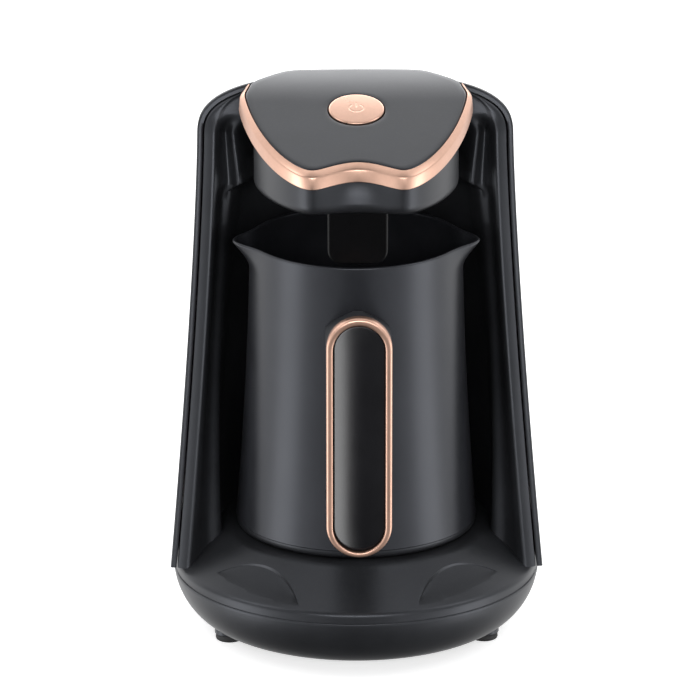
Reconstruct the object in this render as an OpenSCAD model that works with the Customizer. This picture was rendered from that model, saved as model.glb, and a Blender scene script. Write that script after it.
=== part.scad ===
// Electric turkish coffee maker: a base with a wrap-round housing, a head with
// one button over a slide-out pot, and the parts inside that make it work.
// Front is -Y, right is +X, the floor is z = 0 and the pot stands on the Z axis.
// All sizes in millimetres.

/* [Housing] */
// Half width of the housing at the height where its top corners begin
shell_half = 65.5; // [64.5:0.1:66.5]
// How much each side flares out on the way down to the base
shell_flare = 11.7; // [10.5:0.1:12.5]
// Distance from the pot axis to the back of the housing
back_y = 86; // [85:0.5:88]
// Height of the top of the housing's arch
arch_z = 229.5; // [228:0.5:231]
// Thickness of the moulded walls
wall = 2.4; // [2:0.1:2.8]
// Radius of the bay that wraps the pot
bay_r = 57; // [56:0.5:58]

/* [Base] */
// Radius of the base at the seam between bowl and cover
base_r = 76; // [75:0.5:77.5]
// Height of the seam
seam_z = 26.4; // [25:0.2:27]
// Radius of the flat seat under the pot
seat_r = 54; // [52.5:0.5:55]
// Height of the seat
seat_z = 45; // [44:0.2:45.2]
// Radius of a rubber foot
foot_r = 5.8; // [5:0.2:6.4]

/* [Head] */
// Half width of the head below the trim
head_half = 42; // [40:0.5:43]
// Height of the underside of the head
head_z = 193; // [191:0.5:194]
// Slope of the lid towards the front, in degrees
lid_tilt = 15.5; // [14:0.5:17]
// Diameter of the button
button_d = 22.8; // [20:0.2:24]
// Travel of the button
button_travel = 1.6; // [1:0.1:2]

/* [Pot] */
// Outer radius at the foot of the pot
pot_foot_r = 50; // [49:0.25:51]
// Outer radius at the rim of the pot
pot_rim_r = 44; // [43:0.25:45]
// Height of the rim
rim_z = 168.5; // [166:0.5:169]
// Distance of the spout tips from the pot axis
spout_r = 51.4; // [50:0.1:52.5]
// Thickness of the pot's wall
pot_wall = 1.6; // [1.2:0.1:2]
// Width of the handle
handle_w = 26.5; // [24:0.5:28]
// Distance from the pot axis to the front of the handle
handle_y = 88; // [86:0.5:90]

/* [Hidden] */
$fn = 64;

BLACK = "#1c1c1f";
GLOSS = "#0a0a0c";
ROSE = "#c98f77";
STEEL = "#b9bcc0";
GREEN = "#1f5a3a";

// --- Functions ----------------------------------------------------------------

function mix(a, b, t) = a * (1 - t) + b * t;
function ramp(a, b, x) = let (t = max(0, min(1, (x - a) / (b - a)))) t * t * (3 - 2 * t);
function mirrored(half) = concat(half, [for (i = [len(half) - 2 : -1 : 0])
    [-half[i][0], half[i][1]]]);
function lift(loop, z) = [for (p = loop) [p[0], p[1], z]];
// One point of a smooth curve through b and c, with a and d beside them
function catmull(a, b, c, d, t) = 0.5 * (2 * b + (c - a) * t
    + (2 * a - 5 * b + 4 * c - d) * t * t + (3 * b - a - 3 * c + d) * t * t * t);
function smooth(p, n) = [for (i = [0 : len(p) - 2], k = [0 : n - 1])
    catmull(p[max(0, i - 1)], p[i], p[i + 1], p[min(len(p) - 1, i + 2)], k / n)];

// A solid through a stack of loops with equal counts, anticlockwise from above
module skin(loops) {
    n = len(loops[0]);
    m = len(loops);
    polyhedron(points = [for (l = loops, p = l) p], faces = concat(
        [[for (i = [0 : n - 1]) i]],
        [for (k = [0 : m - 2], i = [0 : n - 1]) let (j = (i + 1) % n)
            [k * n + i, (k + 1) * n + i, (k + 1) * n + j, k * n + j]],
        [[for (i = [n - 1 : -1 : 0]) (m - 1) * n + i]]), convexity = 6);
}

// --- Housing form ---------------------------------------------------------------

corner_z = 205;              // the arch's corners begin here
foot_z = 31.2;               // underside of the housing
crown_z = 165;               // the back starts to round over here
rim_front = -20;             // front of the housing at its foot
rim_lean = 0.25;             // and how far it leans back per millimetre of height
ridge_in = 7.2;              // bevel from the rim to the ridge

function rim_y(z) = rim_front + rim_lean * (z - 32);
arch_power = 2.65;           // 2 makes the arch's corners elliptic, more makes them squarer
function arch(half, rise, z) = half * pow(max(0, 1 - pow((z - corner_z) / rise, arch_power)),
    1 / arch_power);
function side(half, rise, z) = z > corner_z ? arch(half, rise, z)
    : half + shell_flare * pow((corner_z - z) / 173, 1.35);
function shell_side(z, inset) = side(shell_half - inset, arch_z - corner_z - inset, z);
function shell_back(z, inset) = let (y0 = rim_y(arch_z), d = back_y - y0 - inset,
    h = arch_z - crown_z - inset)
    z < crown_z ? back_y - inset
    : y0 + d * pow(max(0, 1 - pow((z - crown_z) / h, crown_power)), 1 / crown_power);
crown_power = 1.5;           // how fast the crown falls away behind the rim
function ridge_side(z) = min(side(shell_half - ridge_in, arch_z - corner_z - 0.2, z),
    shell_side(z, wall) - 1);

// Plan of the closed dome at one height, from its front plane round the back
function dome_e(z) = mix(2.6, 2.1, ramp(206, 224, z));
function room_y(z, ahead) = rim_y(z) - min(ahead, mix(12, 3, ramp(150, 200, z)));
function dome_plan(z, inset, ahead) = let (h = shell_side(z, inset), y0 = room_y(z, ahead),
    d = shell_back(z, inset) - y0, n = 32, e = dome_e(z))
    [for (k = [0 : n]) let (a = 180 * k / n)
        [h * sign(cos(a)) * pow(abs(cos(a)), 2 / e), y0 + d * pow(sin(a), 2 / e)]];
dome_levels = [0, 28, 58, 88, 114, 134, 147, 158, 167, 173.8, 179, 183, 186.3, 189.3,
    191.8, 193.8, 195.4, 196.7, 197.6, 198.1];
module dome(inset, ahead, bottom) {
    top = arch_z - inset;
    skin([for (l = dome_levels) let (z = foot_z + l * (top - foot_z) / 198.3)
        lift(dome_plan(z, inset, ahead), z - (l == 0 ? bottom : 0))]);
}

// Left half of the front housing's plan at one height, and with w the same line a
// wall further in: rim, bevel, ridge, cheek, then round the bay to the middle. The lip
// and shoulders beside the head take over from the cheek towards the top.
function round_bay(y) = [sqrt(pow(bay_r, 2) - pow(y, 2)), y];
function cheek_line(z) = let (
    y0 = rim_y(z), ridge = ridge_side(z), cap = ramp(205, 214, z), neck = ramp(181, 185.5, z),
    rise = mix(2.2, 0.9, cap), lean = 3 * ramp(178, 212, z), entry_y = y0 + mix(8, -7, 1 - ramp(36, 64, z)),
    entry = round_bay(entry_y), past = round_bay(entry_y + 8),
    dip = [(ridge + entry[0]) / 2, (y0 - rise + entry_y) / 2 + 1.6])
    [[ridge, y0 - rise],
        mix(mix(dip, [52.6 + lean / 2, y0 + 5], neck), [min(52, ridge - 2.5), y0 - 0.5], cap),
        mix(mix(entry, [47.4 + lean, y0 + 1.5], neck), [min(46.5, ridge - 3.5), y0 - 0.4], cap),
        mix(mix(past, [44, y0 + 9], neck), [min(42.5, ridge - 4.5), y0], cap)];
function cheek_half(z, w) = let (
    y0 = rim_y(z) + w, cap = ramp(205, 214, z), edge = shell_side(z, wall) - 0.45 - w,
    c = cheek_line(z), crest = w == 0 ? c[0] : [min(c[0][0] + 1.2, edge - 0.3), y0 - 0.6],
    line = [for (i = [1 : 3]) let (t = c[min(3, i + 1)] - c[i - 1])
        c[i] + w * [t[1], -t[0]] / norm(t)],
    inner = line[2], a0 = atan2(inner[1], inner[0]), r0 = norm(inner), n = 7,
    start = [crest[0] - min(1.2, crest[0] / 9) * (w == 0 ? 1 : 0.4), crest[1] + 0.3],
    front = concat([[(edge + crest[0]) / 2, (y0 + crest[1]) / 2 - 0.2], crest],
        smooth(concat([start], line), 4),
        [for (k = [0 : n]) let (t = k / n, a = mix(a0, 90, t),
            r = mix(r0, bay_r + w, ramp(0, 0.35, t)))
            mix(r * [cos(a), sin(a)], [inner[0] * (1 - t), y0 + 0.6 * t * t], cap)]))
    [for (p = front) [-p[0], p[1]]];
// Half width of the room inside the rear shell, a little behind the rim
function room_x(z, y) = let (y0 = room_y(z, 12), d = shell_back(z, wall) - y0, e = dome_e(z))
    shell_side(z, wall) * pow(max(0, 1 - pow((y - y0) / max(d, y - y0 + 0.01), e)), 1 / e);
// All that lies behind that line; the inner one steps out past the rim's short flange
module behind_cheeks(w) skin([for (i = [0 : len(housing_levels) - 1]) let (
    z = housing_levels[i], edge = shell_side(z, wall) - 0.45, y0 = rim_y(z),
    deep = mix(4, 2.9, ramp(212, 226, z)), far = min(edge, room_x(z, y0 + deep) - 0.4),
    end = i == 0 ? -w : i == len(housing_levels) - 1 ? w : 0)
    lift(mirrored(concat(w == 0 ? [[0.8 - far, 75], [0.5 - far, 68], [0.2 - far, 60],
            [-far, y0 + deep], [-edge, y0]]
        : [[-edge - 1, 76], [-edge - 1, y0 + deep], [-far + w, y0 + deep], [-edge + w, y0 + w]],
        cheek_half(z, w))), z + end)]);
housing_levels = [31.3, 37, 42, 47, 53, 59, 65, 82, 105, 130, 155, 172, 180.5, 182, 183.3, 184.6,
    186, 192, 202, 206, 209, 212, 215, 218, 220.5, 222.5, 224, 225.2, 226.2];

// --- Base form --------------------------------------------------------------------

rear_shift = back_y - base_r;    // the plan runs this far straight before the rear half

// A section swept round the base: front half turn, straight sides, rear half turn
module round_base() {
    rotate([0, 0, 180]) rotate_extrude(angle = 180, $fn = 96) children();
    translate([0, rear_shift, 0]) rotate_extrude(angle = 180, $fn = 96) children();
    for (m = [0, 1]) mirror([m, 0, 0]) translate([0, rear_shift, 0]) rotate([90, 0, 0])
        linear_extrude(rear_shift) children();
}
bowl_foot_r = 58;                // radius of the bowl's flat bottom
bowl_z = 4.5;                    // height of that bottom
function bowl_side(inset) = [for (k = [0 : 8]) let (u = cos(11.25 * k))
    [bowl_foot_r + (base_r - bowl_foot_r - inset) * pow(1 - pow(u, 1.7), 1 / 1.8),
        seam_z - (seam_z - bowl_z - inset) * u]];
band_z = 30.2;                   // top of the cover's upright band
cover_r = base_r - 0.5;
cover_wall = 2.2;
feet = [[53, -21], [-53, -21], [42, 50], [-42, 50]];
cover_posts = [[46, 12], [-46, 12], [28, 57], [-28, 57]];

// --- Head form --------------------------------------------------------------------

lid_y = -47;                     // front middle of the lid
lid_z = 213.3;
lid_slope = tan(lid_tilt);
button_y = -6.3;
function lid_top(y) = lid_z + lid_slope * (y - lid_y) - 0.0028 * pow(max(0, y), 2);
trim_drop = 6.9;                 // from the lid's surface to the trim's lower edge
trim_fold = 1.6;                 // and to its fold

// Left half of a lobed outline: side, quarter round to the lobe, dip in the middle
function lobed(half, side_y, lobe_y, dip, p, n = 12, xl = 18.3) = concat(
    [for (k = [0 : n - 1]) let (a = 90 * k / n)
        [-xl - (half - xl) * pow(cos(a), 2 / p), side_y + (lobe_y - side_y) * pow(sin(a), 2 / p)]],
    [for (k = [0 : 6]) let (x = xl * (1 - k / 6))
        [-x, lobe_y + dip * pow(0.5 + 0.5 * cos(180 * x / xl), 0.65)]]);
// The outlines draw in towards the lid's rear corners
function drawn_in(path, d) = [for (p = path) [p[0] + d * pow(ramp(3, 15, p[1]), 1.5), p[1]]];
function trim_outer() = mirrored(drawn_in(lobed(48.9, 15, -54.7, 6.2, 1.66), 1.6));
function lid_front(gap) = mirrored(drawn_in(lobed(46.6 - gap, 15, -51.6 + gap, 6.3, 1.62), 2.9));
lid_rear = [[41.9, 17.9], [39.4, 20.4], [35.7, 23.4], [32, 26.2], [28.6, 28.2], [24.6, 29.2],
    [19, 29.6], [10, 29.9], [0, 30]];
function lid_plan(gap) = concat(lid_front(gap), [for (k = [0 : 16]) let (p = lid_rear[k < 9 ? k
    : 16 - k]) [(k < 9 ? p[0] : -p[0]) * (1 - gap / 43.9), 15 + (p[1] - 15) * (1 - gap / 15)]]);
// Plan of the head's skirt; the lobes fade a little towards the underside, which drops
// a little towards the back
function lowered(path, z) = [for (p = path) [p[0], p[1], z - 0.06 * (p[1] + 53.2)]];
function skirt_plan(inset, low) = let (rear = mix(37, 27.5, low))
    concat([[-head_half + inset, rear]],
        mirrored(lobed(head_half - inset, -2, -53.2 + inset, mix(5.4, 3.4, low), 1.55)),
        [[head_half - inset, rear]]);
// Everything between two depths under the lid's surface
module lid_slab(low, high) {
    ys = concat([-60], [for (y = [0 : 6 : 48]) y]);
    rotate([90, 0, 90]) translate([0, 0, -60]) linear_extrude(120) polygon(concat(
        [for (y = ys) [y, lid_top(y) - high]],
        [for (i = [len(ys) - 1 : -1 : 0]) [ys[i], lid_top(ys[i]) - low]]));
}
module lid_frame() translate([0, button_y, lid_top(button_y)]) rotate([lid_tilt, 0, 0])
    children();
// Everything behind the housing's front plane, above the bay
module behind_rim(z, gap) translate([0, rim_y(z) - gap, z]) rotate([-atan(rim_lean), 0, 0])
    translate([-80, 0, 0]) cube([160, 60, 60]);

tongue_w = 24.5;
tongue_y = -45.2;
tongue_z = 170.2;
tongue_t = 9;

// --- Pot form ---------------------------------------------------------------------

pot_z = seat_z + 0.3;            // underside of the pot
vessel_z = 48.8;                 // underside of the vessel's wall
floor_z = 62;                    // inside floor of the vessel
function pot_r(z) = let (t = (z - vessel_z) / (rim_z - vessel_z))
    pot_rim_r + (pot_foot_r - pot_rim_r) * pow(1 - t, 1.7);
function spout(a) = exp(-pow(a / 13, 2)) * (spout_r - pot_rim_r);
function pot_plan(z, inset) = let (lift = pow(ramp(rim_z - 13, rim_z + 3, z), 1.2) * 1.14)
    [for (k = [0 : 71]) let (a = 5 * k, off = min(abs(a - 356), abs(a + 4), abs(a - 184)),
        r = pot_r(z) - inset + spout(off) * lift) [r * cos(a), r * sin(a), z]];
pot_levels = [vessel_z, 54, 64, 80, 105, 135, rim_z - 13, rim_z - 10.5, rim_z - 8, rim_z - 5.5,
    rim_z - 3.2, rim_z - 1.5, rim_z];
grip_t = 12;                     // thickness of the handle's grip
grip_z0 = 59.6;
grip_z1 = 161;
band_side = 2.7;                 // rose frame: width at the sides, top and bottom
band_top = 3.5;
band_bottom = 2.1;
stud_z = [66.5, 147];
plug_z = 54.5;                   // axis of the plug and socket
plug_half = 11;
pin_x = 6;
pin_r = 1.5;

// Upright stadium in the XZ plane, from y = 0 back
module stadium(half, z0, z1, depth) rotate([-90, 0, 0]) linear_extrude(depth) {
    translate([0, -z0 - half]) circle(half);
    translate([0, -z1 + half]) circle(half);
    translate([-half, -z1 + half]) square([2 * half, z1 - z0 - 2 * half]);
}
module pan_screw(r, head, length) {
    cylinder(r = head, h = 1.8, $fn = 32);
    translate([0, 0, -length]) cylinder(r = r, h = length + 0.1, $fn = 32);
}

// --- Base ---------------------------------------------------------------------------

module base_bowl() color(BLACK) difference() {
    union() {
        round_base() polygon(concat([[50, bowl_z]], bowl_side(0),
            [[base_r - wall, seam_z]], [for (k = [7 : -1 : 1]) bowl_side(wall)[k]],
            [[50, bowl_z + wall]]));
        intersection() {
            union() {
                for (p = cover_posts) translate([p[0], p[1], bowl_z]) cylinder(r = 4, h = 21);
            }
            translate([0, 0, 2]) round_base() polygon(concat([[0, 0.6]], [[bowl_foot_r, 0.6]],
                [for (p = bowl_side(1)) p + [0, 0.5]], [[0, seam_z]]));
        }
        for (p = feet) translate([p[0], p[1], 2.8]) cylinder(r = foot_r + 0.4, h = 6.4);
    }
    for (p = feet) translate([p[0], p[1], -1]) cylinder(r = 2.6, h = 30);
    for (p = cover_posts) translate([p[0], p[1], -1]) cylinder(r = 1.7, h = 40, $fn = 32);
    // pocket that takes the bottom plate
    translate([0, 0, bowl_z - 1]) difference() {
        round_base() square([52.3, 2.6]);
        for (p = cover_posts) translate([p[0], p[1], -1]) cylinder(r = 4, h = 9);
    }
}

module base_plate() color(BLACK) difference() {
    translate([0, 0, bowl_z]) round_base() square([52, 1.6]);
    for (x = [-24 : 8 : 24], y = [-18, 26]) translate([x - 1.5, y - 9, 0])
        cube([3, 18, 20]);
    for (p = cover_posts) translate([p[0], p[1], 0]) cylinder(r = 4.4, h = 20);
}

module rubber_feet() color(GLOSS) for (p = feet) translate([p[0], p[1], 0]) {
    cylinder(r = foot_r, h = 2.8);
    translate([0, 0, 2.7]) cylinder(r = 2.5, h = 8);
}

module base_screws() color(STEEL) for (p = cover_posts) translate([p[0], p[1], bowl_z])
    mirror([0, 0, 1]) pan_screw(1.6, 3.4, 28);

// Apron outline: upright band, slope up to the seat, and the same a wall lower
function cover_section(drop) = [[cover_r - drop, seam_z], [cover_r - drop, band_z - drop * 0.4],
    [seat_r, seat_z - drop], [0, seat_z - drop]];
crescent = [51.5, -67, 27];      // middle and radius of a front recess
module base_cover() color(BLACK) difference() {
    union() {
        difference() {
            round_base() polygon(concat([[0, seam_z]], cover_section(0)));
            translate([0, 0, -0.1]) round_base() polygon(concat([[0, seam_z]],
                cover_section(cover_wall)));
        }
        intersection() {
            for (p = cover_posts) translate([p[0], p[1], seam_z - 0.6]) cylinder(r = 4, h = 30);
            round_base() polygon(concat([[0, seam_z - 2], [cover_r - 1, seam_z - 2]],
                cover_section(1)));
        }
        // lining under the front recesses
        intersection() {
            for (s = [-1, 1]) translate([s * crescent[0], crescent[1], 0])
                cylinder(r = crescent[2] + 2, h = 60);
            rotate_extrude($fn = 96) polygon([[54, 43], [55.8, 42], [64.3, 30.9], [74, 30.9],
                [74, 50], [54, 50]]);
            round_base() polygon(concat([[0, seam_z]], cover_section(0)));
        }
    }
    for (s = [-1, 1]) intersection() {
        translate([s * crescent[0], crescent[1], 0]) cylinder(r = crescent[2], h = 60, $fn = 96);
        rotate_extrude($fn = 96) polygon([[seat_r - 1, 60], [78, 60], [78, 31.1], [65.5, 33.5],
            [seat_r - 1, 47.7]]);
    }
    for (p = cover_posts) translate([p[0], p[1], 0]) cylinder(r = 1.65, h = seat_z - 8, $fn = 32);
    // way up into the back of the housing for the wires
    translate([-16, bay_r + 5, 20]) cube([32, 12, 30]);
}

// --- Housing ------------------------------------------------------------------------

// The room that the base cover's slope and seat take
module cover_room() round_base() polygon([[0, 0], [cover_r + 4, 0], [cover_r + 4, foot_z],
    [cover_r - 1.4, foot_z], [seat_r, seat_z + 0.1], [0, seat_z + 0.1]]);
function bay_at(x) = sqrt(pow(bay_r, 2) - pow(x, 2)) + 1;
module front_housing() color(BLACK) difference() {
    union() {
        difference() {
            behind_cheeks(0);
            behind_cheeks(wall);
        }
        for (p = shell_holes) translate([p[0], bay_at(p[0]), p[1]]) rotate([-90, 0, 0])
            cylinder(r = 4, h = back_at(p) - 9.1 - bay_at(p[0]));
    }
    for (p = shell_holes) translate([p[0], bay_at(p[0]) + 3, p[1]]) rotate([-90, 0, 0])
        cylinder(r = 1.65, h = 60, $fn = 32);
    cover_room();
    // the way through for the head
    translate([-head_half - 0.1, -60, head_z - 0.1]) cube([2 * head_half + 0.2, 130,
        214 - head_z]);
    // the socket's window
    translate([-plug_half - 2, bay_r - 4, plug_z - 8]) cube([2 * plug_half + 4, 12, 16]);
}

module rear_shell() color(BLACK) difference() {
    union() {
        difference() {
            dome(0, 0, 0);
            dome(wall, 12, 4);
        }
        for (p = shell_holes) along_back(p, -9) cylinder(r = 4.6, h = 8);
    }
    cover_room();
    translate([0, back_y + 4, gland_z]) rotate([90, 0, 0]) cylinder(r = gland_r + 0.05, h = 20);
    for (k = [-6 : 6]) translate([5 * k - 1.2, back_y - 14, 96]) cube([2.4, 30,
        24 - 1.2 * abs(k)]);
    for (p = shell_holes) along_back(p, 0) {
        translate([0, 0, -20]) cylinder(r = 1.7, h = 30, $fn = 32);
        translate([0, 0, -4.5]) cylinder(r = 3.5, h = 14);
    }
}
gland_z = 48.5;
gland_r = 8;
cord_r = 3.6;
shell_holes = [[16, 168], [-16, 168], [20, 74], [-20, 74]];
// Depth of the back at a place on it, and things set square into it there
function back_at(p) = let (z = p[1], c = pow(abs(p[0]) / shell_side(z, 0), 1.3), y0 = rim_y(z))
    y0 + (shell_back(z, 0) - y0) * pow(1 - c * c, 1 / 2.6);
module along_back(p, depth) translate([p[0], back_at(p) + depth, p[1]]) rotate([-90, 0, 0])
    children();

module shell_screws() color(STEEL) for (p = shell_holes) along_back(p, -4.4)
    pan_screw(1.6, 3.2, 14);

module cord_gland() color(GLOSS) translate([0, 0, gland_z]) rotate([-90, 0, 0]) difference() {
    union() {
        translate([0, 0, back_y]) cylinder(r = gland_r + 2.5, h = 2);
        translate([0, 0, back_y - 7]) cylinder(r = gland_r, h = 7.5);
        translate([0, 0, back_y - 9.5]) cylinder(r = gland_r + 2, h = 2.6);
    }
    translate([0, 0, back_y - 20]) cylinder(r = cord_r, h = 40);
}

// --- Head ---------------------------------------------------------------------------

head_round = 4;                  // rounded lower edge of the skirt
module head_shell() color(BLACK) difference() {
    skin(concat(
        [for (a = [0 : 30 : 90]) let (z = head_z + head_round * (1 - cos(a)))
            lowered(skirt_plan(head_round * (1 - sin(a)), 1), z)],
        [lift(skirt_plan(0, 0), 206), lift(skirt_plan(0, 0), 236)]));
    skin(concat([lowered(skirt_plan(head_round, 1), head_z - 1)],
        [for (a = [0, 45, 90]) let (z = head_z + wall + (head_round - wall) * (1 - cos(a)))
            lowered(skirt_plan(wall + (head_round - wall) * (1 - sin(a)), 1), z)],
        [lift(skirt_plan(wall, 0), 206), lift(skirt_plan(wall, 0), 237)]));
    lid_slab(trim_drop, -30);
    behind_rim(213.8, 0.7);
    translate([-head_half + wall, 20, head_z - 9]) cube([2 * (head_half - wall), 30, 70]);
}

module head_floor() color(BLACK) difference() {
    intersection() {
        linear_extrude(400) union() {
            polygon(skirt_plan(head_round + 0.2, 1));
            translate([-head_half + head_round + 0.2, 10]) square([2 * (head_half - head_round
                - 0.2), 27]);
        }
        translate([-60, -60, head_z]) cube([120, 96, 2.2]);
    }
    translate([-tongue_w / 2 - 0.1, tongue_y + 0.9, 0]) cube([tongue_w + 0.2, tongue_t - 1, 300]);
}

module trim_ring() color(ROSE) skin([for (i = [0 : len(trim_outer()) - 1])
    let (o = trim_outer()[i], n = lid_front(0)[i], zo = lid_top(o[1]), zn = lid_top(n[1]))
    [[o[0], o[1], zo - trim_drop], [n[0], n[1], zn - trim_drop], [n[0], n[1], zn],
        [o[0], o[1], zo - trim_fold]]]);

module top_plate() color(BLACK) difference() {
    intersection() {
        linear_extrude(400) polygon(lid_plan(0.35));
        lid_slab(2.4, 0);
    }
    lid_frame() translate([0, 0, -20]) cylinder(d = button_d + 0.8, h = 40);
}

// Deck under the lid: it closes the head behind the trim and guides the button
module lid_carrier() color(BLACK) difference() {
    union() {
        intersection() {
            linear_extrude(400) union() {
                polygon(lid_plan(0.35));
                translate([-head_half, 10]) square([2 * head_half, 30]);
            }
            lid_slab(6.8, 5.2);
        }
        lid_frame() translate([0, 0, -6.6]) cylinder(r = 4.4, h = 1.6);
    }
    behind_rim(200, 0.7);
    lid_frame() translate([0, 0, -20]) cylinder(r = 2.46, h = 30);
}

module button_cap() color(ROSE) lid_frame() {
    translate([0, 0, -2.6]) cylinder(d = button_d, h = 2.4);
    translate([0, 0, -0.2]) rotate_extrude() polygon([[0, -0.2], [button_d / 2, -0.2],
        [button_d / 2, 0.2], [button_d / 2 - 0.5, 0.6], [6, 0.85], [0, 0.9]]);
    translate([0, 0, -7]) cylinder(r = 2.4, h = 4.6);
}

module switch_plunger() color("#7a2222") lid_frame() translate([0, 0, -11.4])
    cylinder(r = 1.6, h = 4.3);

module switch_body() color(GLOSS) lid_frame() difference() {
    translate([-6, -6, -14]) cube([12, 12, 5.2]);
    translate([0, 0, -13.2]) cylinder(r = 1.65, h = 6);
}

module control_board() color(GREEN) lid_frame() difference() {
    translate([-32, -22, -15.6]) cube([64, 42, 1.6]);
    for (x = [-28, 28], y = [-18, 16]) translate([x, y, -20]) cylinder(r = 1.6, h = 10, $fn = 32);
}

module buzzer() color(GLOSS) lid_frame() translate([20, 8, -14]) difference() {
    cylinder(r = 5.5, h = 5);
    translate([0, 0, 3]) cylinder(r = 1, h = 4);
}

module sensor_tongue() color(BLACK) difference() {
    union() {
        translate([0, tongue_y, 0]) rotate([-90, 0, 0]) linear_extrude(tongue_t) {
            for (s = [-1, 1]) translate([s * (tongue_w / 2 - 6), -tongue_z - 6]) circle(6);
            translate([-tongue_w / 2, -head_z]) square([tongue_w, head_z - tongue_z - 6]);
            translate([-tongue_w / 2 + 6, -tongue_z - 7]) square([tongue_w - 12, 7]);
        }
        translate([-tongue_w / 2 + 0.2, tongue_y + 1, head_z - 1]) cube([tongue_w - 0.4,
            tongue_t - 1.2, 6]);
    }
    translate([-tongue_w / 2 + 2, tongue_y + 2, tongue_z + 5]) cube([tongue_w - 4,
        tongue_t - 4, 60]);
    translate([0, tongue_y + 5, tongue_z - 2]) cylinder(r = 2.6, h = 12);
}

module sensor_board() color(GREEN) translate([-8, tongue_y + 2.6, tongue_z + 8])
    cube([16, 1.2, 18]);

module sensor_window() color("#3a1414") translate([0, tongue_y + 5, tongue_z + 0.4]) {
    cylinder(r = 2.5, h = 6);
    translate([0, 0, 5.4]) cylinder(r = 2.5, h = 2);
}

// --- Electrics ------------------------------------------------------------------------

module socket_block() color(GLOSS) difference() {
    union() {
        translate([-plug_half - 1.8, bay_r - 0.3, plug_z - 7.8]) cube([2 * plug_half + 3.6, 6,
            15.6]);
        translate([-plug_half - 5, bay_r + 4, plug_z - 8.6]) cube([2 * plug_half + 10, 12, 17.6]);
    }
    for (x = [-pin_x, pin_x]) translate([x, bay_r - 4, plug_z]) rotate([-90, 0, 0])
        cylinder(r = pin_r + 0.35, h = 16);
    for (x = [-pin_x, pin_x]) translate([x - 2.6, bay_r + 8.8, plug_z - 2.6]) cube([5.2, 9, 5.2]);
}

module socket_contacts() color("#c9a45a") for (x = [-pin_x, pin_x])
    translate([x, bay_r + 9, plug_z]) rotate([-90, 0, 0]) difference() {
        cylinder(r = 2.5, h = 7.5, $fn = 32);
        translate([0, 0, -1]) cylinder(r = pin_r + 0.3, h = 3.4);
    }

module power_board() color(GREEN) difference() {
    translate([-34, -32, 12]) cube([68, 52, 1.6]);
    for (x = [-30, 30], y = [-28, 16]) translate([x, y, 0]) cylinder(r = 1.6, h = 30, $fn = 32);
}

module power_transformer() color("#c9b24a") translate([-26, -20, 13.6]) {
    cube([22, 26, 6]);
    translate([2, 3, 5.9]) cube([18, 20, 12]);
}

module relay() color("#2a5f9e") translate([6, -12, 13.6]) cube([19, 15.5, 15]);

module fuse_clip() color(STEEL) translate([8, 9, 13.6]) {
    for (x = [0, 16]) translate([x, -1.5, 0]) cube([3, 6, 3.4]);
    translate([0, 1.5, 5.6]) rotate([0, 90, 0]) cylinder(r = 2.5, h = 19);
}

// --- Pot --------------------------------------------------------------------------------

module pot_vessel() color(BLACK) difference() {
    skin([for (z = pot_levels) pot_plan(z, 0)]);
    skin([for (i = [2 : len(pot_levels) - 1]) let (z = max(pot_levels[i], floor_z),
        last = i == len(pot_levels) - 1) [for (p = pot_plan(i == 2 ? floor_z : z, pot_wall))
            last ? p + [0, 0, 0.5] : p]]);
    translate([0, 0, vessel_z - 1]) cylinder(r = pot_foot_r - 2.4, h = floor_z - vessel_z - 0.8);
    translate([-plug_half - 0.1, 40, vessel_z - 1]) cube([2 * plug_half + 0.2, 12,
        plug_z + 6 - vessel_z]);
}

module heater_plate() color(STEEL) translate([0, 0, floor_z - 5]) difference() {
    cylinder(r = 43, h = 3.1);
    translate([0, 0, -1]) cylinder(r = 1.8, h = 6, $fn = 32);
}

module heating_element() color("#8c8f93") {
    rotate([0, 0, 112]) rotate_extrude(angle = 316) translate([33, floor_z - 8.4]) circle(3.2,
        $fn = 32);
    for (s = [-1, 1]) translate([s * 12.3, 30.5, floor_z - 8.4]) rotate([-90, 0, 0])
        cylinder(r = 1.2, h = 9, $fn = 32);
}

module pot_thermostat() color("#d8d2c4") translate([0, 0, floor_z - 5]) mirror([0, 0, 1]) {
    translate([0, 0, 0.1]) cylinder(r = 7.5, h = 5);
    translate([-12, -2.5, 0.1]) cube([24, 5, 0.8]);
}

module pot_base_cap() color(GLOSS) difference() {
    union() {
        rotate_extrude($fn = 96) polygon([[0, pot_z], [pot_foot_r - 1.4, pot_z],
            [pot_foot_r - 0.2, pot_z + 1.1], [pot_foot_r - 0.2, vessel_z], [0, vessel_z]]);
        difference() {
            translate([0, 0, vessel_z - 0.1]) cylinder(r = pot_foot_r - 2.5, h = 3.6);
            translate([0, 0, vessel_z - 1]) cylinder(r = pot_foot_r - 4.5, h = 9);
        }
        for (a = [90 + 60, 270, 30]) rotate([0, 0, a]) translate([24, 0, vessel_z - 0.1])
            cylinder(r = 3.4, h = 3.2);
    }
    for (a = [150, 270, 30]) rotate([0, 0, a]) translate([24, 0, 0]) {
        cylinder(r = 1.65, h = 80, $fn = 32);
        translate([0, 0, pot_z - 1]) cylinder(r = 3.6, h = 3.1);
    }
    translate([-plug_half - 0.1, 42, vessel_z]) cube([2 * plug_half + 0.2, 20, 20]);
}

module pot_screws() color(STEEL) for (a = [150, 270, 30]) rotate([0, 0, a])
    translate([24, 0, pot_z + 2]) mirror([0, 0, 1]) pan_screw(1.6, 3.3, 9.6);

module pot_plug() color(GLOSS) difference() {
    translate([-plug_half, 43.2, vessel_z]) cube([2 * plug_half, bay_r - 1.3 - 43.2,
        plug_z + 5 - vessel_z]);
    for (x = [-pin_x, pin_x]) translate([x, 30, plug_z]) rotate([-90, 0, 0])
        cylinder(r = pin_r, h = 40);
}

module plug_pins() color("#c9a45a") for (x = [-pin_x, pin_x]) translate([x, 41, plug_z])
    rotate([-90, 0, 0]) cylinder(r = pin_r, h = 24);

// --- Handle -------------------------------------------------------------------------------

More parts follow.
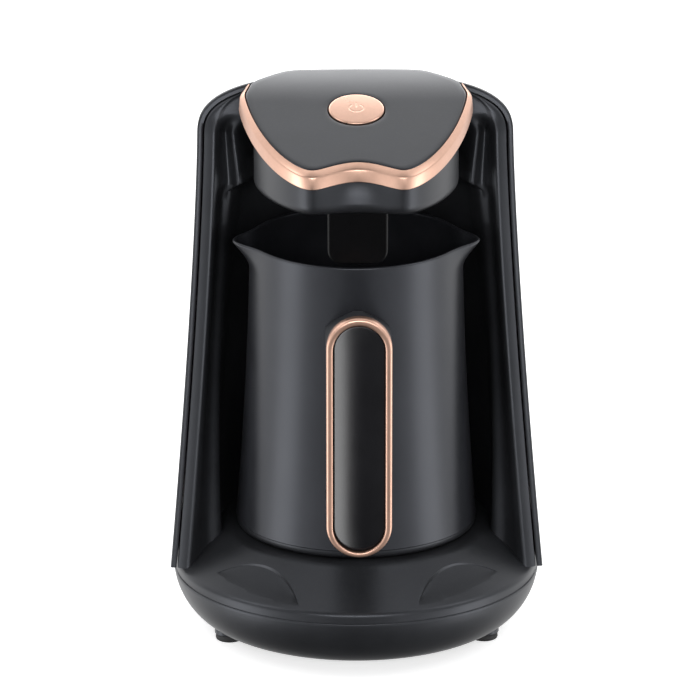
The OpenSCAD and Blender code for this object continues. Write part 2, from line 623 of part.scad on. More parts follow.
// The vessel's plain outer form, to seat the handle and its studs on
module pot_solid(gap) rotate_extrude($fn = 96) polygon(concat([[0, 20]],
    [for (i = [0 : 6]) [pot_r(pot_levels[i]) + gap, i == 0 ? 20 : pot_levels[i]]],
    [[0, pot_levels[6]]]));

// Side profile of the handle: its lower arm, the finger gap and the upper arm
grip_back = [[-52, 74], [-60, 74.8], [-66.5, 78], [-71, 84], [-73.3, 92], [-73.8, 107],
    [-73.3, 122], [-71, 130], [-66.5, 135.8], [-60, 138.6], [-52, 138.8]];
module handle_body() color(BLACK) difference() {
    intersection() {
        translate([0, -handle_y + 4, 0]) stadium(handle_w / 2, grip_z0, grip_z1, 60);
        rotate([90, 0, 90]) translate([0, 0, -handle_w]) linear_extrude(2 * handle_w) polygon(concat(
            [[-handle_y + 4, grip_z0], [-40, grip_z0 + 1], [-40, 74]], smooth(grip_back, 3),
            [[-52, 138.8], [-40, 138]], smooth([[-40, 151.5], [-49, 152.7], [-60, 155.4],
                [-72, 159], [-handle_y + 4, grip_z1]], 3), [[-handle_y + 4, grip_z1]]));
    }
    pot_solid(0.05);
    for (z = stud_z) translate([0, -90, z]) rotate([-90, 0, 0]) {
        cylinder(r = 2.1, h = 60);
        cylinder(r = 4, h = 22);
    }
}

module handle_studs() color(STEEL) difference() {
    for (z = stud_z) translate([0, -58, z]) rotate([-90, 0, 0]) cylinder(r = 2, h = 18);
    pot_solid(0.02);
}

module handle_screws() color(STEEL) for (z = stud_z) translate([0, -69.8, z])
    rotate([90, 0, 0]) pan_screw(1.6, 3.6, -1.9 + 13.6);

module handle_frame() color(ROSE) difference() {
    translate([0, -handle_y, 0]) stadium(handle_w / 2, grip_z0, grip_z1, 4);
    translate([0, -handle_y - 1, 0]) stadium(handle_w / 2 - band_side, grip_z0 + band_bottom,
        grip_z1 - band_top, 9);
}

module handle_inlay() color(GLOSS) translate([0, -handle_y + 1, 0])
    stadium(handle_w / 2 - band_side - 0.05, grip_z0 + band_bottom + 0.05,
        grip_z1 - band_top - 0.05, 3);

// --- Assembly -------------------------------------------------------------------------------

base_bowl();
base_plate();
rubber_feet();
base_screws();
base_cover();
front_housing();
rear_shell();
shell_screws();
cord_gland();
head_shell();
head_floor();
trim_ring();
top_plate();
lid_carrier();
sensor_tongue();
sensor_board();
sensor_window();
socket_block();
socket_contacts();
power_board();
power_transformer();
relay();
fuse_clip();
control_board();
buzzer();
switch_body();
switch_plunger();
button_cap();
pot_vessel();
heater_plate();
heating_element();
pot_thermostat();
pot_base_cap();
pot_screws();
pot_plug();
plug_pins();
handle_body();
handle_studs();
handle_screws();
handle_frame();
handle_inlay();
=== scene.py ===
from functools import cache
from math import atan2, cos, degrees, exp, hypot, pi, radians, sin, sqrt, tan

import bpy
import bmesh
import numpy as np
from bpy.props import FloatProperty, FloatVectorProperty, PointerProperty
from mathutils import Matrix, Vector


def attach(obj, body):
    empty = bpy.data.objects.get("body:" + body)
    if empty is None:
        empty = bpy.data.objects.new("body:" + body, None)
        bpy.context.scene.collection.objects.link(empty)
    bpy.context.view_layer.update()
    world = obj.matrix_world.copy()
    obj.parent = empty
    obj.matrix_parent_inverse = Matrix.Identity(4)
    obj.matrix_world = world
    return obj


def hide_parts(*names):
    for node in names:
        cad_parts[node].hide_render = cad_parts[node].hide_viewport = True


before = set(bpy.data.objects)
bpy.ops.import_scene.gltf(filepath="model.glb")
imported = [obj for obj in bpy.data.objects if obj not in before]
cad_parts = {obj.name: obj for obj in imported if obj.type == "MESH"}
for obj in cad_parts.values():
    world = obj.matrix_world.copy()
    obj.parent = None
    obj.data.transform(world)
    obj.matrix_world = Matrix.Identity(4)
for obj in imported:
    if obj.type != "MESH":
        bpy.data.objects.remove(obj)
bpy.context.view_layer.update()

bl_info = {
    "name": "Coffee maker dressing",
    "version": (1, 0, 0),
    "blender": (4, 5, 0),
    "location": "View3D > Sidebar > Coffee maker",
    "description": "Builds the outer pieces and finishes of an electric coffee maker on its frame",
    "category": "Object",
}

MM = 0.001  # shapes below are worked out in millimetres

# --- Sizes of the object, as in its source -------------------------------------------------------

# rear shell and front housing
SHELL_HALF, SHELL_FLARE, WALL = 65.5, 11.7, 2.4
BACK_Y, ARCH_Z, CORNER_Z, CROWN_Z, FOOT_Z = 86.0, 229.5, 205.0, 165.0, 31.2
ARCH_POWER, CROWN_POWER = 2.65, 1.5
RIM_FRONT, RIM_LEAN, RIDGE_IN, FACE_TOP = -20.0, 0.25, 7.2, 226.9
BAY_R = 57.0  # the round bay that wraps the pot
SHELL_HOLES = [(16, 168), (-16, 168), (20, 74), (-20, 74)]  # (x, z) of its screws

# base: bowl, cover with the pot's seat and the front recesses, feet and screw posts
BASE_R, BOWL_FOOT_R, BOWL_Z, SEAM_Z, BAND_Z = 76.0, 58.0, 4.5, 26.4, 30.2
COVER_R, COVER_WALL, SEAT_R, SEAT_Z = BASE_R - 0.5, 2.2, 54.0, 45.0
COVER_FALL = (SEAT_Z - BAND_Z) / (COVER_R - SEAT_R)
REAR_SHIFT = BACK_Y - BASE_R
CRESCENT_X, CRESCENT_Y, CRESCENT_R, CRESCENT_LEDGE = 63.7, -76.4, 40.0, 67.8
FEET = [(53, -21), (-53, -21), (42, 50), (-42, 50)]
COVER_POSTS = [(46, 12), (-46, 12), (28, 57), (-28, 57)]

# head: skirt, trim, tilted lid, button and the sensor's tongue
HEAD_HALF, HEAD_Z, SKIRT_TOP = 42.0, 193.0, 206
LOBE_X, LOBE_Y = 18.3, 15  # the plan's quarter rounds end at this x in front, this y beside
LID_Y, LID_Z, LID_TILT = -47.0, 213.3, 15.5
TRIM_DROP, TRIM_FOLD, TRIM_THIN, TRIM_DRAFT = 6.9, 1.6, 2.4, 0.09
BUTTON_Y, BUTTON_D = -6.3, 22.8
TONGUE_W, TONGUE_Y, TONGUE_Z, TONGUE_T = 24.5, -45.2, 170.2, 9.0

# pot, the cap under it and its handle
VESSEL_Z, FLOOR_Z, RIM_Z, POT_Z = 48.8, 62.0, 168.5, SEAT_Z + 0.3
POT_RIM_R, POT_FOOT_R, POT_WALL = 44.0, 50.0, 1.6
SPOUT_R, SPOUT_SPREAD = 51.4, 13
SPOUTS_AT = (356, -4, 184)  # degrees; the right one is given from both sides of 0
POT_SCREWS = [(24 * cos(radians(a)), 24 * sin(radians(a))) for a in (150, 270, 30)]
GRIP_HALF, GRIP_Z0, GRIP_Z1, HANDLE_Y = 13.25, 59.6, 161.0, 88.0
GRIP_FRONT = -HANDLE_Y + 4  # the grip's own face, behind the band and the inlay
BAND_SIDE, BAND_TOP, BAND_BOTTOM = 2.7, 3.5, 2.1

# cord gland and plug
GLAND_Z, GLAND_R, CORD_R = 48.5, 8.0, 3.6
PLUG_HALF, PLUG_Z = 11.0, 54.5


# --- Settings a user would change ----------------------------------------------------------------


def length(label, description, millimetres):
    return FloatProperty(name=label, description=description, default=millimetres * MM,
                         subtype="DISTANCE", unit="LENGTH", precision=5, min=0.0)


def colour(label, description, value):
    return FloatVectorProperty(name=label, description=description, default=value,
                               subtype="COLOR", size=3, min=0.0, max=1.0)


def amount(label, description, value, top=1.0):
    return FloatProperty(name=label, description=description, default=value, min=0.0, max=top)


class EdgeSizes(bpy.types.PropertyGroup):
    """How far the moulded and metal edges are rounded"""

    ridge: length("Ridge", "Rounding of the ridge inside the housing's rim", 2.0)
    rim: length("Shell rim", "Rounding of the rear shell's front edge", 0.9)
    trim: length("Trim", "Rounding of the head trim's fold and edges", 0.7)
    lid: length("Lid", "Rounding of the lid's edge", 0.9)
    button: length("Button", "Rounding of the button's edge", 0.7)
    lip: length("Pot lip", "Rounding of the pot's lip", 0.78)
    band: length("Handle band", "Rounding of the rose band round the handle", 1.1)
    seam: length("Seams", "Rounding where the base's shells meet", 0.5)


class FinishColours(bpy.types.PropertyGroup):
    """Colours of the visible finishes"""

    black: colour("Satin black", "Moulded housing and base", (0.0115, 0.012, 0.0135))
    pot: colour("Pot black", "Coating of the pot", (0.0125, 0.013, 0.0155))
    lid: colour("Lid black", "Top plate of the head", (0.0095, 0.010, 0.0118))
    # on the sensor tongue this darker colour also paints the shade that falls under the head
    gloss: colour("Gloss black", "Handle inlay and sensor tongue", (0.002, 0.002, 0.0024))
    rose: colour("Rose gold", "Trim, button and handle band", (0.70, 0.44, 0.335))
    rubber: colour("Rubber", "Feet and gland", (0.02, 0.02, 0.021))
    steel: colour("Steel", "Screws, heating element, studs and fuse clip", (0.56, 0.56, 0.57))


class StudioSettings(bpy.types.PropertyGroup):
    """Camera and lamps"""

    elevation: FloatProperty(name="Elevation", description="Camera's height above the horizon",
                             default=radians(18.2), subtype="ANGLE", unit="ROTATION")
    azimuth: FloatProperty(name="Azimuth", description="Camera's turn round the object",
                           default=radians(-0.85), subtype="ANGLE", unit="ROTATION")
    distance: FloatProperty(name="Distance", description="Camera to the middle of the object",
                            default=2.6, subtype="DISTANCE", unit="LENGTH")
    lens: FloatProperty(name="Lens", description="Focal length in millimetres on a 36 mm sensor",
                        default=322.4, min=50, max=500)
    lamps: amount("Lamps", "Strength of the soft boxes", 1.0, 10)
    fill: amount("Fill", "Even light from all round", 0.5, 10)


# --- Shape helpers -------------------------------------------------------------------------------


def mix(a, b, t):
    """The value a share t of the way from a to b."""
    return a * (1 - t) + b * t


def ramp(a, b, x):
    """0 up to a, 1 from b on, and a soft rise between them."""
    t = max(0.0, min(1.0, (x - a) / (b - a)))
    return t * t * (3 - 2 * t)


def span(a, b, count):
    """The ends and the even steps between them."""
    return [a + (b - a) * i / count for i in range(count + 1)]


def point(*values):
    return np.array(values, float)


def smooth_line(points, steps):
    """A smooth curve through the points, without its last one."""
    out = []
    for i in range(len(points) - 1):
        a, b = points[max(0, i - 1)], points[i]
        c, d = points[i + 1], points[min(len(points) - 1, i + 2)]
        for k in range(steps):
            t = k / steps
            out.append(0.5 * (2 * b + (c - a) * t + (2 * a - 5 * b + 4 * c - d) * t * t
                              + (3 * b - a - 3 * c + d) * t ** 3))
    return out


def rounded_corner(before, corner, after, reach, steps):
    """A curve that replaces a corner and leaves each side at most reach from it."""
    u, v = before - corner, after - corner
    lu, lv = np.linalg.norm(u), np.linalg.norm(v)
    p = corner + u * min(reach, 0.48 * lu) / max(lu, 1e-9)
    q = corner + v * min(reach, 0.48 * lv) / max(lv, 1e-9)
    return [p * (1 - t) ** 2 + 2 * corner * t * (1 - t) + q * t * t for t in span(0, 1, steps)]


def rounded_outline(points, radii, steps):
    """The closed outline with each corner of radius above 0 made round."""
    out = []
    for i, p in enumerate(points):
        if radii[i] <= 0:
            out.append(p)
        else:
            after = points[(i + 1) % len(points)]
            out += rounded_corner(points[i - 1], p, after, radii[i], steps)
    return out


class Shape:
    """Points in millimetres and the faces between them."""

    def __init__(self):
        self.points, self.faces, self.masks = [], [], {}

    def row(self, points):
        start = len(self.points)
        self.points += [tuple(float(x) for x in p) for p in points]
        return list(range(start, len(self.points)))

    def strip(self, a, b, wrap=False):
        n = len(a)
        for i in range(n if wrap else n - 1):
            j = (i + 1) % n
            self.faces.append((a[i], a[j], b[j], b[i]))

    def stack(self, rows, wrap=False):
        rows = [self.row(r) for r in rows]
        for a, b in zip(rows, rows[1:]):
            self.strip(a, b, wrap)
        return rows

    def capped(self, rows):
        """A tube of the rows with its two ends filled in."""
        grid = self.stack(rows, wrap=True)
        self.faces += [tuple(reversed(grid[0])), tuple(grid[-1])]
        return self

    def looped(self, rows):
        """A tube of the rows whose last row meets the first."""
        grid = self.stack(rows, wrap=True)
        self.strip(grid[-1], grid[0], wrap=True)
        return self

    def doubled(self, face, back):
        """Two sheets of rows, joined along their four edges."""
        face, back = self.stack(face), self.stack(back)
        self.strip(face[0], back[0])
        self.strip(face[-1], back[-1])
        self.strip([r[0] for r in face], [r[0] for r in back])
        self.strip([r[-1] for r in face], [r[-1] for r in back])
        return self

    def fan(self, ring, middle):
        centre = self.row([middle])[0]
        for i in range(len(ring)):
            self.faces.append((ring[i], ring[(i + 1) % len(ring)], centre))

    def add(self, other):
        shift = len(self.points)
        self.points += other.points
        self.faces += [tuple(i + shift for i in f) for f in other.faces]

    def placed(self, matrix):
        self.points = [tuple(matrix @ Vector(p)) for p in self.points]
        return self


def circle(radius, steps, x=0.0, y=0.0):
    """Points round a circle, anticlockwise from its right side."""
    return [(x + radius * cos(a), y + radius * sin(a)) for a in span(0, 2 * pi, steps)[:-1]]


def level_ring(radius, z, steps):
    return [(x, y, z) for x, y in circle(radius, steps)]


def stadium(half, z0, z1, steps=28, x=0.0):
    """Upright stadium as (x, z), anticlockwise from its right side."""
    top = [point(x + half * cos(a), z1 - half + half * sin(a)) for a in span(0, pi, steps)]
    foot = [point(x + half * cos(a), z0 + half + half * sin(a)) for a in span(pi, 2 * pi, steps)]
    return top + foot


def lathe(profile, steps):
    """A turned form; the profile is a list of (radius, height)."""
    shape = Shape()
    shape.stack([level_ring(r, z, steps) for r, z in profile], wrap=True)
    return shape


def upright(u, v, depth):
    return (u, v, depth)


def along_y(u, v, depth):
    return (u, depth, v)


def bar(outline, low, high, place=upright):
    """A straight bar with the outline as its section; place turns (u, v, depth) into a point."""
    return Shape().capped([[place(p[0], p[1], depth) for p in outline] for depth in (low, high)])


def block(low, high):
    (x0, y0, z0), (x1, y1, z1) = low, high
    return bar([(x0, y0), (x1, y0), (x1, y1), (x0, y1)], z0, z1)


def mesh_object(name, shape, sharp=32.0):
    """The shape as a mesh in metres, with doubles merged, normals outwards and smooth faces."""
    mesh = bpy.data.meshes.new(name)
    mesh.from_pydata([(x * MM, y * MM, z * MM) for x, y, z in shape.points], [], shape.faces)
    for label, values in shape.masks.items():
        layer = mesh.attributes.new(label, "FLOAT", "POINT")
        layer.data.foreach_set("value", values)
    work = bmesh.new()
    work.from_mesh(mesh)
    bmesh.ops.remove_doubles(work, verts=work.verts, dist=2e-6)
    bmesh.ops.dissolve_degenerate(work, edges=work.edges, dist=1e-6)
    bmesh.ops.recalc_face_normals(work, faces=work.faces)
    work.to_mesh(mesh)
    work.free()
    settle_shading(mesh, sharp)
    made = bpy.data.objects.new(name, mesh)
    bpy.context.scene.collection.objects.link(made)
    return made


def settle_shading(mesh, sharp):
    """Smooth faces, with edges above an angle kept sharp."""
    mesh.polygons.foreach_set("use_smooth", [True] * len(mesh.polygons))
    mesh.set_sharp_from_angle(angle=radians(sharp))
    mesh.update()


def cut(piece, cutters, sharp=32.0, operation="DIFFERENCE"):
    """Cuts the shapes out of the piece's mesh, joins them to it or keeps what they share."""
    for number, cutter in enumerate(cutters):
        tool = mesh_object(f"{piece.name}_cutter{number}", cutter)
        change = piece.modifiers.new("cut", "BOOLEAN")
        change.operation, change.solver, change.object = operation, "EXACT", tool
        bpy.context.view_layer.update()
        done = bpy.data.meshes.new_from_object(
            piece.evaluated_get(bpy.context.evaluated_depsgraph_get()))
        piece.modifiers.clear()
        old = piece.data
        piece.data = done
        bpy.data.meshes.remove(old)
        bpy.data.objects.remove(tool)
    settle_shading(piece.data, sharp)
    return piece


def soften(piece, width, segments=2, angle=30.0):
    """A small bevel on the piece's hard edges."""
    change = piece.modifiers.new("soft_edges", "BEVEL")
    change.width, change.segments = width * MM, segments
    change.limit_method, change.angle_limit = "ANGLE", radians(angle)
    change.harden_normals, change.use_clamp_overlap = True, True
    return piece


def dress(piece, finish, body, slot, *nodes):
    """Gives the piece its finish and body, and hides the frame nodes it stands for."""
    piece.data.materials.clear()
    piece.data.materials.append(finish)
    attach(piece, body)
    if nodes:
        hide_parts(*nodes)
    return piece


# --- Forms shared by several pieces --------------------------------------------------------------


def rim_y(z):
    """Depth of the housing's leaning front rim at a height."""
    return RIM_FRONT + RIM_LEAN * (z - 32)


def side(half, rise, z):
    """Half width of an arch that flares to the foot."""
    if z > CORNER_Z:
        return half * max(0.0, 1 - ((z - CORNER_Z) / rise) ** ARCH_POWER) ** (1 / ARCH_POWER)
    return half + SHELL_FLARE * ((CORNER_Z - z) / 173) ** 1.35


def shell_side(z, inset):
    """Half width of the rear shell, an inset inside its face."""
    return side(SHELL_HALF - inset, ARCH_Z - CORNER_Z - inset, z)


def shell_back(z, inset):
    """Depth of the rear shell's back, which rounds to the top."""
    y0 = rim_y(ARCH_Z)
    d, h = BACK_Y - y0 - inset, ARCH_Z - CROWN_Z - inset
    if z < CROWN_Z:
        return BACK_Y - inset
    return y0 + d * max(0.0, 1 - ((z - CROWN_Z) / h) ** CROWN_POWER) ** (1 / CROWN_POWER)


def ridge_side(z):
    """Half width of the ridge inside the housing's rim."""
    return min(side(SHELL_HALF - RIDGE_IN, ARCH_Z - CORNER_Z - 0.2, z), shell_side(z, WALL) - 1)


def back_at(x, z):
    """Depth of the housing's back at a place on it."""
    c = (abs(x) / shell_side(z, 0)) ** 1.3
    y0 = rim_y(z)
    return y0 + (shell_back(z, 0) - y0) * (1 - c * c) ** (1 / 2.6)


def base_loop(r, z, steps=60):
    """The base's plan at one radius: a front half turn, straight sides and a rear half turn."""
    front = [(r * cos(a), r * sin(a), z) for a in span(pi, 2 * pi, steps)]
    rear = [(r * cos(a), REAR_SHIFT + r * sin(a), z) for a in span(0, pi, steps)]
    return front + rear


def base_radius(x, y):
    """Distance of a place from the base's middle line or centre."""
    if y < 0:
        return hypot(x, y)
    return abs(x) if y < REAR_SHIFT else hypot(x, y - REAR_SHIFT)


def lid_top(y):
    """Height of the tilted lid, which falls off to the back."""
    return LID_Z + tan(radians(LID_TILT)) * (y - LID_Y) - 0.0028 * max(0.0, y) ** 2


def lobed(half, side_y, lobe_y, dip, power, side_steps=40, dip_steps=20):
    """Half of a lobed outline: side, quarter round to the lobe, dip in the middle."""
    out = []
    for k in range(side_steps):
        a = pi / 2 * k / side_steps
        out.append(point(-LOBE_X - (half - LOBE_X) * cos(a) ** (2 / power),
                         side_y + (lobe_y - side_y) * sin(a) ** (2 / power)))
    for k in range(dip_steps + 1):
        x = LOBE_X * (1 - k / dip_steps)
        out.append(point(-x, lobe_y + dip * (0.5 + 0.5 * cos(pi * x / LOBE_X)) ** 0.65))
    return out


def drawn_in(path, d):
    """The outline, drawn in towards the lid's rear corners."""
    return [point(p[0] + d * ramp(3, LOBE_Y, p[1]) ** 1.5, p[1]) for p in path]


def evened(path, reach, spacing=0.35):
    """The path at even steps with its tight bends eased over a reach."""
    path = np.array(path)
    steps = np.linalg.norm(np.diff(path, axis=0), axis=1)
    along = np.concatenate([[0], np.cumsum(steps)])
    places = np.linspace(0, along[-1], int(along[-1] / spacing) + 1)
    even = np.stack([np.interp(places, along, path[:, i]) for i in range(2)], 1)
    eased = even.copy()
    for i in range(len(even)):
        k = min(int(reach / spacing), i, len(even) - 1 - i)
        weights = np.array([1 - abs(j) / (k + 1) for j in range(-k, k + 1)])
        eased[i] = (even[i - k:i + k + 1] * weights[:, None]).sum(0) / weights.sum()
    return [point(*p) for p in eased]


def mirrored(half):
    """The whole outline from its left half."""
    return half + [point(-p[0], p[1]) for p in reversed(half[:-1])]


def trim_outer():
    return mirrored(evened(drawn_in(lobed(48.9, LOBE_Y, -54.7, 6.2, 1.66), 1.6), 3.2))


def lid_front(gap):
    front = lobed(46.6 - gap, LOBE_Y, -51.6 + gap, 6.3, 1.62)
    return mirrored(evened(drawn_in(front, 2.9), 3.2))


LID_REAR = [(43.0, 15.9), (41.9, 17.9), (39.4, 20.4), (35.7, 23.4), (32, 26.2), (28.6, 28.2),
            (24.6, 29.2), (19, 29.6), (10, 29.9), (0, 30)]


def facing_back(x, y, z):
    """The place of a turned form whose top looks to the back."""
    return Matrix.Translation((x, y, z)) @ Matrix.Rotation(-pi / 2, 4, "X")


def lid_frame():
    """The place of a form that stands on the tilted lid."""
    return (Matrix.Translation((0, BUTTON_Y, lid_top(BUTTON_Y)))
            @ Matrix.Rotation(radians(LID_TILT), 4, "X"))


# --- Housing -------------------------------------------------------------------------------------


def cheek_line(z):
    """Four points from the ridge over the cheek into the bay."""
    y0, ridge = rim_y(z), ridge_side(z)
    cap, neck = ramp(205, 214, z), ramp(181, 185.5, z)
    rise, lean = mix(2.2, 0.9, cap), 3 * ramp(178, 212, z)
    entry_y = y0 + 8

    def round_bay(y):
        return point(sqrt(BAY_R ** 2 - y * y), y)

    entry, past = round_bay(entry_y), round_bay(entry_y + 8)
    dip = point((ridge + entry[0]) / 2, (y0 - rise + entry_y) / 2 + 1.6)
    return [point(ridge, y0 - rise),
            mix(mix(dip, point(52.6 + lean / 2, y0 + 5), neck),
                point(min(52, ridge - 2.5), y0 - 0.5), cap),
            mix(mix(entry, point(47.4 + lean, y0 + 1.5), neck),
                point(min(46.5, ridge - 3.5), y0 - 0.4), cap),
            mix(mix(past, point(44, y0 + 9), neck), point(min(42.5, ridge - 4.5), y0), cap)]


def cheek_path(z, w, ridge_round):
    """Right half of the front housing's plan at one height, from its flange to the middle,
    w behind its face."""
    y0, cap = rim_y(z) + w, ramp(205, 214, z)
    edge = shell_side(z, WALL) - 0.45 - w
    marks = cheek_line(z)
    crest = marks[0] if w == 0 else point(min(marks[0][0] + 1.2, edge - 0.3), y0 - 0.6)
    line = []
    for i in (1, 2, 3):
        way = marks[min(3, i + 1)] - marks[i - 1]
        line.append(marks[i] + w * point(way[1], -way[0]) / np.linalg.norm(way))
    inner = line[2]
    first_angle, first_reach = atan2(inner[1], inner[0]), np.linalg.norm(inner)
    start = point(crest[0] - min(1.2, crest[0] / 9) * (1 if w == 0 else 0.4), crest[1] + 0.3)
    curve = smooth_line([start] + line, 9)
    bevel = point((edge + crest[0]) / 2, (y0 + crest[1]) / 2 - 0.2)
    path = [point(edge, y0 + 4)]
    path += rounded_corner(point(edge, y0 + 4), point(edge, y0), bevel, 0.6, 3)
    path += [bevel]
    path += rounded_corner(bevel, crest, curve[2], ridge_round, 6)
    path += curve[3:]
    for t in span(0, 1, 26):
        a = mix(first_angle, pi / 2, t)
        r = mix(first_reach, BAY_R + w, ramp(0, 0.35, t))
        path.append(mix(r * point(cos(a), sin(a)), point(inner[0] * (1 - t), y0 + 0.6 * t * t),
                        cap))
    return path


def cover_room(x, y):
    """Height to which the base's slope and seat reach under the housing at a place."""
    r = base_radius(x, y)
    outer = COVER_R - 1.4
    if r >= outer:
        return FOOT_Z
    if r <= SEAT_R:
        return SEAT_Z + 0.1
    return mix(SEAT_Z + 0.1, FOOT_Z, (r - SEAT_R) / (outer - SEAT_R))


def front_housing_shape(ridge_round):
    """The housing's face: rim, ridge, cheeks and the bay that wraps the pot."""
    heights = np.linspace(31.0, FACE_TOP, 260)
    marks = (span(FOOT_Z, 62, 12)[:-1] + span(62, 182, 34)[:-1] + span(182, 222, 52)[:-1]
             + span(222, FACE_TOP, 12))
    levels = [(z - FOOT_Z) / (FACE_TOP - FOOT_Z) for z in marks]
    sheets = []
    for w, rounding in ((0.0, ridge_round), (WALL, 0.3)):
        table = np.array([cheek_path(z, w, rounding) for z in heights])
        top = FACE_TOP - w
        columns = []
        for j in range(table.shape[1]):
            line = table[:, j]
            spare = [z - cover_room(*p) for z, p in zip(heights, line)]
            k = next(i for i, room in enumerate(spare) if room >= -1e-6)
            below, above = spare[max(0, k - 1)], spare[k]
            step = heights[k] - heights[max(0, k - 1)]
            low = heights[k] - step * above / max(1e-9, above - below)
            zs = [low + (top - low) * v for v in levels]
            xs, ys = np.interp(zs, heights, line[:, 0]), np.interp(zs, heights, line[:, 1])
            columns.append(list(zip(xs, ys, zs)))
        half = list(zip(*columns))
        sheets.append([[(-x, y, z) for x, y, z in row] + list(reversed(row[:-1]))
                       for row in half])
    return Shape().doubled(*sheets)


SHELL_STEPS, LINING_STEPS, EDGE_STEPS = 110, 60, 7  # of the rear shell's plan


def shell_columns(rim_round):
    """Columns of the rear shell's plan as (inset, kind, value, hand), all the way round."""
    turn = [(rim_round * (1 - cos(a)), rim_round * (1 - sin(a))) for a in span(0, pi / 2, 5)]
    edge = turn + [(WALL - 0.3, 0.0), (WALL, 0.3)]
    return ([(0.0, "plan", a, 1) for a in span(0, pi, SHELL_STEPS)]
            + [(inset, "rim", value, -1) for inset, value in edge]
            + [(WALL, "plan", a, 1) for a in span(pi, 0, LINING_STEPS)]
            + [(inset, "rim", value, 1) for inset, value in reversed(edge)])


def rear_shell_shape(rim_round):
    """The rear shell: sides and back in one wall that closes above, open at the front and below."""
    heights = (span(FOOT_Z, CROWN_Z, 26)[:-1] + span(CROWN_Z, CORNER_Z, 16)[:-1]
               + [CORNER_Z + (ARCH_Z - CORNER_Z) * sin(a) ** (2 / ARCH_POWER)
                  for a in span(0, pi / 2, 44)])
    columns = shell_columns(rim_round)
    rows = []
    for z in heights:
        row = []
        for inset, kind, value, hand in columns:
            zi = FOOT_Z + (z - FOOT_Z) * (ARCH_Z - inset - FOOT_Z) / (ARCH_Z - FOOT_Z)
            y0, half = rim_y(zi), shell_side(zi, inset)
            if kind == "rim":
                row.append((hand * half, y0 + value, zi))
                continue
            d = shell_back(zi, inset) - y0
            c = cos(value)
            power = 2 / mix(2.6, 2.1, ramp(206, 224, zi))
            x = half * (1 if c >= 0 else -1) * abs(c) ** power
            y = y0 + d * max(0.0, sin(value)) ** power
            row.append((x, max(y, y0 + (rim_round if inset == 0 else 0.3) * min(1, d)), zi))
        rows.append(row)
    shape = Shape()
    grid = shape.stack(rows, wrap=True)
    foot, left_at = grid[0], SHELL_STEPS + 1
    inner_at = left_at + EDGE_STEPS
    right_at = inner_at + LINING_STEPS + 1
    outer, left = foot[:left_at], foot[left_at:inner_at]
    inner, right = foot[inner_at:right_at], foot[right_at:]
    step = [round(i * SHELL_STEPS / LINING_STEPS) for i in range(LINING_STEPS + 1)]
    back = list(reversed(inner))
    for i in range(LINING_STEPS):
        shape.faces.append(tuple(outer[step[i]:step[i + 1] + 1] + [back[i + 1], back[i]]))
    shape.faces.append(tuple([outer[-1]] + left + [inner[0]]))
    shape.faces.append(tuple([inner[-1]] + right + [outer[0]]))
    return shape


# --- Head ----------------------------------------------------------------------------------------


def skirt_plan(inset, low):
    """The head's plan; its dip is shallower at the low edge."""
    half = lobed(HEAD_HALF - inset, -2, -53.2 + inset, mix(5.4, 3.4, low), 1.55)
    return mirrored(evened(half, 2.6, 0.6))


def head_shell_shape():
    """The head's skirt, open at the back and under the lid, with a rounded lower edge."""
    radius, drop = 4.0, 0.06

    def sheet(inset, lift):
        r = radius - inset
        rows = []
        for a in span(0, pi / 2, 6):
            rows.append((r * (1 - sin(a)) + inset, HEAD_Z + lift + r * (1 - cos(a)), 1.0))
        for z in span(197.5, SKIRT_TOP, 4):
            rows.append((inset, z, 1 - ramp(196, 207, z)))
        grid = []
        for extra, z, low in rows:
            plan = skirt_plan(extra, low)
            rear, half = mix(37.0, 27.5, low), HEAD_HALF - extra
            plan = ([point(-half, y) for y in span(rear, 1, 8)] + plan
                    + [point(half, y) for y in span(1, rear, 8)])
            fall = drop * (1 - ramp(197, SKIRT_TOP, z))
            grid.append([(p[0], p[1], z - fall * (p[1] + 53.2)) for p in plan])
        last = grid[-1]
        for t in span(0, 1, 6)[1:]:
            row = []
            for x, y, z in last:
                y = min(y, mix(y, rim_y(216) - 0.6, min(1, 2 * t)))
                row.append((x, y, mix(SKIRT_TOP, lid_top(y) - TRIM_DROP + 0.02, t)))
            grid.append(row)
        return grid

    face, back = sheet(0.0, 0.0), sheet(WALL, WALL)
    count = min(len(face[0]), len(back[0]))

    def resampled(row):
        row = np.array(row)
        spots = np.linspace(0, len(row) - 1, count)
        return list(zip(*[np.interp(spots, range(len(row)), row[:, i]) for i in range(3)]))

    return Shape().doubled([resampled(row) for row in face], [resampled(row) for row in back])


def trim_shape(radius):
    """The rose trim: a chamfer beside the lid, a fold and a nearly upright face. It grows thin
    and low towards its upper ends."""
    rows, share = [], np.linspace(0, 1, 340)
    outer, inner = [np.stack([np.interp(share, np.linspace(0, 1, len(path)), path[:, i])
                              for i in range(2)], 1)
                    for path in (np.array(trim_outer()), np.array(lid_front(0)))]
    for outside, inside in zip(outer, inner):
        thin = ramp(5, 16, outside[1])
        outside = mix(outside, inside, 0.5 * thin)
        fold_z, lid_z = lid_top(outside[1]), lid_top(inside[1])
        reach = np.linalg.norm(outside - inside)
        way, drop = (outside - inside) / reach, TRIM_DROP - TRIM_THIN * thin
        draft = TRIM_DRAFT * (drop - TRIM_FOLD)
        section = rounded_outline(
            [point(0, lid_z - drop), point(reach, fold_z - drop),
             point(reach - draft, fold_z - TRIM_FOLD), point(0, lid_z)],
            [0, radius * 0.8, radius, radius * 0.6], 4)
        rows.append([(inside[0] + way[0] * s, inside[1] + way[1] * s, z) for s, z in section])
    return Shape().capped(rows)


